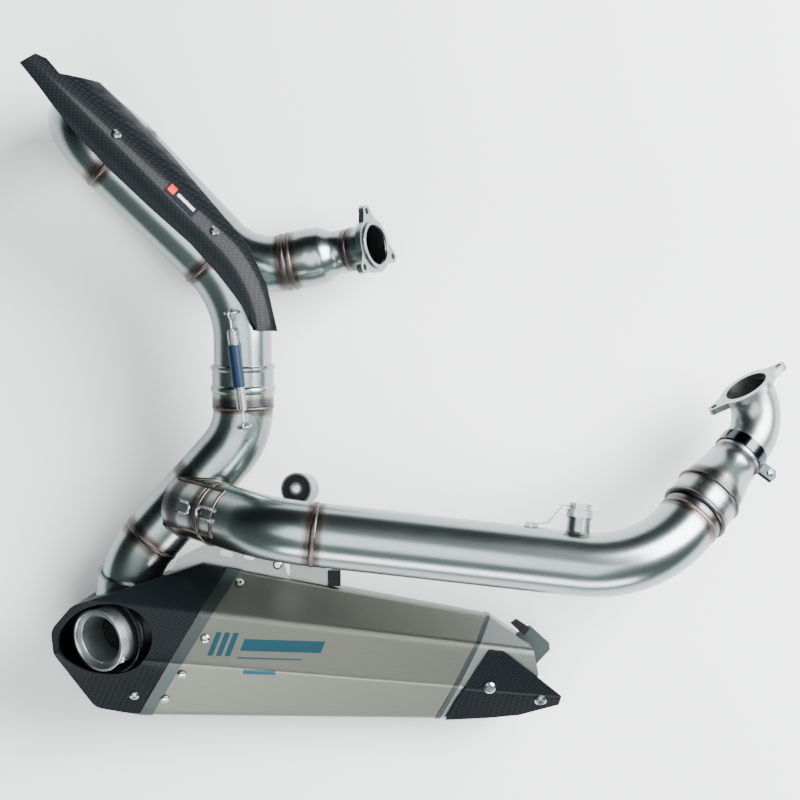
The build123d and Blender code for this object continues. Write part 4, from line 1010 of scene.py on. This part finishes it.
class EXHAUST_OT_spring(PieceOperator, bpy.types.Operator):
    """Spring over the slip joint: a wire with a hook at each end, and a rubber sleeve round its middle"""
    bl_idname = "exhaust.spring"
    bl_label = "Joint Spring"

    def build(self, context, size, wear):
        start, end = np.array(UPPER_HOOK), np.array(LOWER_HOOK)
        way = way_of(start, end)
        span = np.linalg.norm(end - start)
        lift = across(way, SPRING_NORMAL)
        aside = np.cross(way, lift)
        coil_r = size.spring_radius / MM - size.spring_wire / MM
        turns = int((span - 2 * COIL_INSET) / (size.spring_pitch / MM))
        turn = np.linspace(0, 2 * pi * turns, turns * 22 + 1)
        rise = COIL_INSET + (span - 2 * COIL_INSET) * turn / turn[-1]
        grow = np.clip(np.minimum(turn, turn[-1] - turn) / (3 * pi), 0.12, 1) * coil_r
        coil = start + rise[:, None] * way + grow[:, None] * around(turn[:, None], lift, aside)
        bend = np.linspace(radians(300), radians(20), 44)[:, None]
        hook_up = start + HOOK_RADIUS * around(bend, way, lift)
        shank_up = start + way * np.linspace(HOOK_RADIUS + 1.2, COIL_INSET - 0.6, 12)[:, None]
        shank_down = end - way * np.linspace(COIL_INSET - 0.6, HOOK_RADIUS + 1.2, 12)[:, None]
        hook_down = end + HOOK_RADIUS * around(bend[::-1], -way, lift)
        line = np.concatenate([hook_up, shank_up, coil, shank_down, hook_down])
        mesh = wire_mesh("joint_spring", Track((line - DRAWING_ORIGIN) * MM), size.spring_wire, 10)
        place_piece("joint_spring", mesh, "spring", wear["spring_steel"], ["spring"])
        body = straight(UPPER_HOOK, way, span)
        bore = size.spring_radius / MM + 0.02
        skin_r = bore + size.sleeve_wall / MM
        mesh = lathe_mesh("spring_sleeve", body, [
            (bore, RUBBER_FROM), (skin_r - 0.4, RUBBER_FROM), (skin_r, RUBBER_FROM + 0.6),
            (skin_r, RUBBER_TO - 0.6), (skin_r - 0.4, RUBBER_TO), (bore, RUBBER_TO)], 64)
        place_piece("spring_sleeve", mesh, "spring", wear["spring_sleeve"],
                    ["spring_rubber_sleeve"])


class EXHAUST_OT_lockwire(PieceOperator, bpy.types.Operator):
    """Lockwire: two strands twisted round each other, from the plug's hexagon to its lug on the pipe"""
    bl_idname = "exhaust.lockwire"
    bl_label = "Lockwire"

    def build(self, context, size, wear):
        seat = along(LAMBDA_FOOT, LAMBDA_WAY, 46.6)
        start = along(along(seat, LAMBDA_WAY, 9), LONG_WAY, -10.6)
        lug_at = along(along(LAMBDA_FOOT, LONG_WAY, -45), LAMBDA_WAY, 30.7)
        end = lug_at + LAMBDA_WAY * 3 + np.array([0, 0, -0.4])
        points = [start, start - LONG_WAY * 6 + LAMBDA_WAY * 0.5, end + LONG_WAY * 16 + LAMBDA_WAY * 4,
                  end + np.array([0, 0, 0.2])]
        track = Track(rounded_path(points, [3.0, 12.0], 260))
        twist = track.reach / size.wire_twist * 2 * pi
        strands = []
        for offset in (0.0, pi):
            away = around((twist + offset)[:, None], track.side, track.up)
            strand = Track(track.line + size.wire_radius * 0.95 * away)
            strands.append(wire_mesh("lockwire_strand", strand, size.wire_radius, 10))
        place_piece("lockwire_pair", merged("lockwire_pair", strands), "front_pipe",
                    wear["lockwire"], ["lockwire"])


OUTLET_CENTRE = (-298, -237, 121)
OUTLET_WAY = unit((-0.53, -0.19, 0.83))


class EXHAUST_OT_outlet(PieceOperator, bpy.types.Operator):
    """Outlet: the carbon funnel, the steel tip and the noise insert that slides out of it"""
    bl_idname = "exhaust.outlet"
    bl_label = "Outlet"

    def build(self, context, size, wear):
        track = straight(OUTLET_CENTRE, OUTLET_WAY, 40)
        out = size.outlet_radius / MM
        inside = out - 1.5
        mesh = lathe_mesh("outlet_tip_ring", track, [
            (inside, -0.5), (inside + 0.5, 0), (out + 0.9, 0), (out + 1.3, -0.5), (out + 1.3, -2.4),
            (out, -3.4), (out, -34), (20.5, -34), (20.5, -32.5), (inside, -32.5)])
        place_piece("outlet_tip_ring", mesh, "collector", wear["outlet_steel"],
                    ["outlet_tip"])
        mesh = lathe_mesh("outlet_funnel", track, [
            (37.5, -18), (38.5, -19), (31.5, -30), (30.4, -30), (30.4, -28.5), (34, -24)])
        place_piece("outlet_funnel", mesh, "collector", wear["carbon_fibre"])
        rim = inside - 0.06
        mesh = lathe_mesh("noise_insert_ring", track, [
            (24, -5.2), (24.4, -4.5), (rim - 0.6, -3.1), (rim, -3.6), (rim, -13), (rim - 1.5, -13),
            (rim - 1.5, -6.5), (25.4, -8), (22.6, -20), (20.2, -31), (19, -31), (21.2, -20), (23.6, -8)])
        place_piece("noise_insert_ring", mesh, "noise_insert", wear["outlet_steel"],
                    ["noise_insert"])


NODES_OF_FINISH = {
    "shield_carbon": ("heat_shield",),
    "trim_metal": ("front_bracket", "sleeve_trim_bands"),
    "dark_steel": ("clamp_band",),
    "front_cap_metal": ("mount_plate", "mount_bar"),
    "soot": ("inlet_core", "outlet_core", "baffle_plates"),
    "plain_steel": ("hanger_bracket", "lockwire_lug", "lambda_boss", "upper_spring_lug", "lower_spring_lug",
                    "front_spring_hook", "branch_spring_hook"),
}
FINISH_OF_NODE = {node: finish for finish, nodes in NODES_OF_FINISH.items() for node in nodes}


class EXHAUST_OT_solid_parts(PieceOperator, bpy.types.Operator):
    """Flanges, screws, brackets, shield and silencer: the frame's own solids with finishes and clean edges"""
    bl_idname = "exhaust.solid_parts"
    bl_label = "Solid Parts"

    def build(self, context, size, wear):
        slots = {part["node"]: part["material_slot"] for part in frame["record"]["subparts"]}
        for name, node in frame["nodes"].items():
            slot = slots[name]
            material = wear[FINISH_OF_NODE.get(name, slot if slot in wear else "plain_steel")]
            node.data.materials.clear()
            node.data.materials.append(material)
            node.data.polygons.foreach_set("use_smooth", np.ones(len(node.data.polygons), bool))
            weld = node.modifiers.new("Merge", "WELD")
            weld.merge_threshold = MERGE_DISTANCE
            split = node.modifiers.new("Edges", "EDGE_SPLIT")
            split.split_angle = SHARP_EDGE


BADGE_WIDTH, BADGE_HEIGHT, BADGE_ALONG, BADGE_SPREAD = 38.0, 14.0, 62.0, 62.0
SHIELD_DROP, SHIELD_ARC = 20.0, 54.0
LEG_START, LEG_WAY = (-189.47, 138.08, 108.32), unit((-0.70, 0.69, 0.18))
LEG_SIDE = across(LEG_WAY, (1, 1, 0))
LEG_UP = np.cross(LEG_SIDE, LEG_WAY) * (1 if np.cross(LEG_SIDE, LEG_WAY)[2] > 0 else -1)


def shield_patch(name, centre_along, width, height, lift, thick):
    """A thin plate that lies on the shield: for s along the leg and angle a round the shield's arc it is
    leg point - drop up + arc radius (side cos a + up sin a), with a second, lower layer and a rim."""
    s = np.linspace(-width / 2, width / 2, 14)
    half = np.degrees(height / 2 / SHIELD_ARC)
    a = np.radians(np.linspace(BADGE_SPREAD - half, BADGE_SPREAD + half, 8))
    layers = []
    for level in (lift + thick, lift):
        arc = (SHIELD_ARC + level) * around(a[:, None], LEG_SIDE, LEG_UP)
        middle = np.array(LEG_START) - LEG_UP * SHIELD_DROP
        layers.append(middle + (centre_along + s)[:, None, None] * LEG_WAY + arc[None])
    top, low = layers
    rim = np.concatenate([top, low[:, ::-1]], axis=1)
    return skin(name, (rim - DRAWING_ORIGIN) * MM, loop_rows=False, caps=True, sharp=radians(30))


class EXHAUST_OT_badge(PieceOperator, bpy.types.Operator):
    """Badge: a plain dark plate on the shield with a red square and a silver bar"""
    bl_idname = "exhaust.badge"
    bl_label = "Shield Badge"

    def build(self, context, size, wear):
        black = finish_named("Badge black", satin_finish, (0.006, 0.007, 0.009), 0.4)
        red = finish_named("Badge red", satin_finish, (0.30, 0.004, 0.003), 0.35)
        silver = finish_named("Badge silver", satin_finish, (0.22, 0.23, 0.235), 0.4)
        parts = (("badge_plate", 0.0, BADGE_WIDTH, BADGE_HEIGHT, 0.02, 0.35, black),
                 ("badge_square", 13.0, 8.0, 8.0, 0.37, 0.2, red),
                 ("badge_bar", -5.0, 22.0, 3.4, 0.37, 0.2, silver))
        for name, along_leg, wide, tall, lift, thick, coat in parts:
            mesh = shield_patch(name, BADGE_ALONG + along_leg, wide, tall, lift, thick)
            place_piece(name, mesh, "rear_header", coat)


# ---------------------------------------------------------------- studio

class EXHAUST_OT_studio(bpy.types.Operator):
    """Studio: a pale floor, soft lamps, a room light that is dark towards +Y low down, and the camera over
    the floor
    """
    bl_idname = "exhaust.studio"
    bl_label = "Studio"
    bl_options = {"REGISTER", "UNDO"}

    def execute(self, context):
        studio = context.scene.exhaust_studio
        tint = tuple(context.scene.exhaust_colours.floor)
        floor_mesh = bpy.data.meshes.new("studio_floor")
        reach = 30.0
        corners = [(-reach, -reach, 0), (reach, -reach, 0), (reach, reach, 0), (-reach, reach, 0)]
        floor_mesh.from_pydata(corners, [], [(0, 1, 2, 3)])
        floor = bpy.data.objects.new("studio_floor", floor_mesh)
        context.scene.collection.objects.link(floor)
        paint = Finish("Studio floor", tint, 0.6, 0.0, Specular_IOR_Level=0.2)
        floor_mesh.materials.append(paint.material)
        lamps = (("key_lamp", (1.6, 0.65, 1.5), (0.0, 0.0, 0.0), (1.7, 1.3), studio.key_power),
                 ("top_lamp", (-0.15, -0.35, 2.3), (0.0, -0.1, 0.0), (2.2, 1.4), studio.key_power * 0.16),
                 ("low_lamp", (0.1, -1.7, 0.75), (0.0, 0.0, 0.1), (2.0, 0.5), studio.key_power * 0.16))
        for name, spot, aim, spread, power in lamps:
            light = bpy.data.lights.new(name, "AREA")
            light.shape = "RECTANGLE"
            light.size, light.size_y = spread
            light.energy = power
            lamp = bpy.data.objects.new(name, light)
            lamp.location = spot
            facing = unit(np.array(aim) - np.array(spot))
            lamp.rotation_euler = turned_to(facing)
            context.scene.collection.objects.link(lamp)
        world = bpy.data.worlds.new("Studio room")
        context.scene.world = world
        world.use_nodes = True
        room(world, studio.sky)
        lens = bpy.data.cameras.new("camera")
        lens.lens = studio.lens
        lens.sensor_width = 36.0
        lens.clip_end = 20.0
        camera = bpy.data.objects.new("camera", lens)
        camera.location = (*(at(0, 0, 0)[:2]), studio.camera_height)
        context.scene.collection.objects.link(camera)
        context.scene.camera = camera
        return {"FINISHED"}


def turned_to(facing):
    """Euler angles that turn a lamp's -Z to face a direction."""
    return Vector(facing).to_track_quat("-Z", "Y").to_euler()


DARK_WALL = (0.004, 0.009, 0.014, 1)
GREY_WALL = (0.22, 0.27, 0.27, 1)
CEILING = (0.52, 0.58, 0.58, 1)


def room(world, strength):
    """The room's light by direction: bright overhead, dark towards +Y low down, grey elsewhere."""
    tree = world.node_tree
    tree.nodes.clear()

    def node(kind, values, **settings_of_node):
        """Outputs of a new node of that type, with the values or links of its sockets."""
        made = tree.nodes.new(kind)
        for key, value in settings_of_node.items():
            setattr(made, key, value)
        for key, value in values.items():
            if isinstance(value, bpy.types.NodeSocket):
                tree.links.new(value, made.inputs[key])
            else:
                made.inputs[key].default_value = value
        return made.outputs

    way = node("ShaderNodeSeparateXYZ", {0: node("ShaderNodeTexCoord", {})["Generated"]})
    rise = node("ShaderNodeMapRange", {"From Min": 0.70, "From Max": 0.96, "Value": way["Z"]})
    side = node("ShaderNodeMapRange", {"From Min": 0.35, "From Max": -0.6, "Value": way["Y"]})
    wall = node("ShaderNodeMix", {0: side[0], 6: DARK_WALL, 7: GREY_WALL}, data_type="RGBA")
    sky = node("ShaderNodeMix", {0: rise[0], 6: wall[2], 7: CEILING}, data_type="RGBA")
    background = node("ShaderNodeBackground", {"Color": sky[2], "Strength": strength})
    node("ShaderNodeOutputWorld", {0: background[0]})


PIECE_OPERATORS = (
    EXHAUST_OT_solid_parts, EXHAUST_OT_rear_header, EXHAUST_OT_collector, EXHAUST_OT_front_pipe,
    EXHAUST_OT_front_header, EXHAUST_OT_branch_hooks, EXHAUST_OT_spring, EXHAUST_OT_lockwire,
    EXHAUST_OT_outlet, EXHAUST_OT_badge, EXHAUST_OT_studio,
)


class EXHAUST_PT_panel(bpy.types.Panel):
    """Sidebar panel with the pieces and their settings"""
    bl_idname = "EXHAUST_PT_panel"
    bl_label = "Racing Exhaust System"
    bl_space_type = "VIEW_3D"
    bl_region_type = "UI"
    bl_category = "Exhaust"

    def draw(self, context):
        column = self.layout.column()
        for operator in PIECE_OPERATORS:
            column.operator(operator.bl_idname)
        for name in SETTING_GROUPS:
            group = getattr(context.scene, name)
            box = self.layout.box()
            for prop in group.bl_rna.properties:
                if not prop.is_readonly and prop.identifier != "name":
                    box.prop(group, prop.identifier)


SETTING_GROUPS = {"exhaust_sizes": ExhaustSizes, "exhaust_colours": ExhaustColours,
                  "exhaust_studio": StudioSettings}
CLASSES = (*SETTING_GROUPS.values(), *PIECE_OPERATORS, EXHAUST_PT_panel)


def register():
    """Adds the classes and the scene's settings."""
    for item in CLASSES:
        bpy.utils.register_class(item)
    for name, group in SETTING_GROUPS.items():
        setattr(bpy.types.Scene, name, PointerProperty(type=group))


def unregister():
    """Takes the settings and the classes away again."""
    for name in SETTING_GROUPS:
        delattr(bpy.types.Scene, name)
    for item in reversed(CLASSES):
        bpy.utils.unregister_class(item)


def main():
    """Builds every piece and the studio."""
    register()
    for operator in PIECE_OPERATORS:
        family, name = operator.bl_idname.split(".")
        getattr(getattr(bpy.ops, family), name)()
    bpy.context.view_layer.update()


if __name__ == "__main__":
    main()
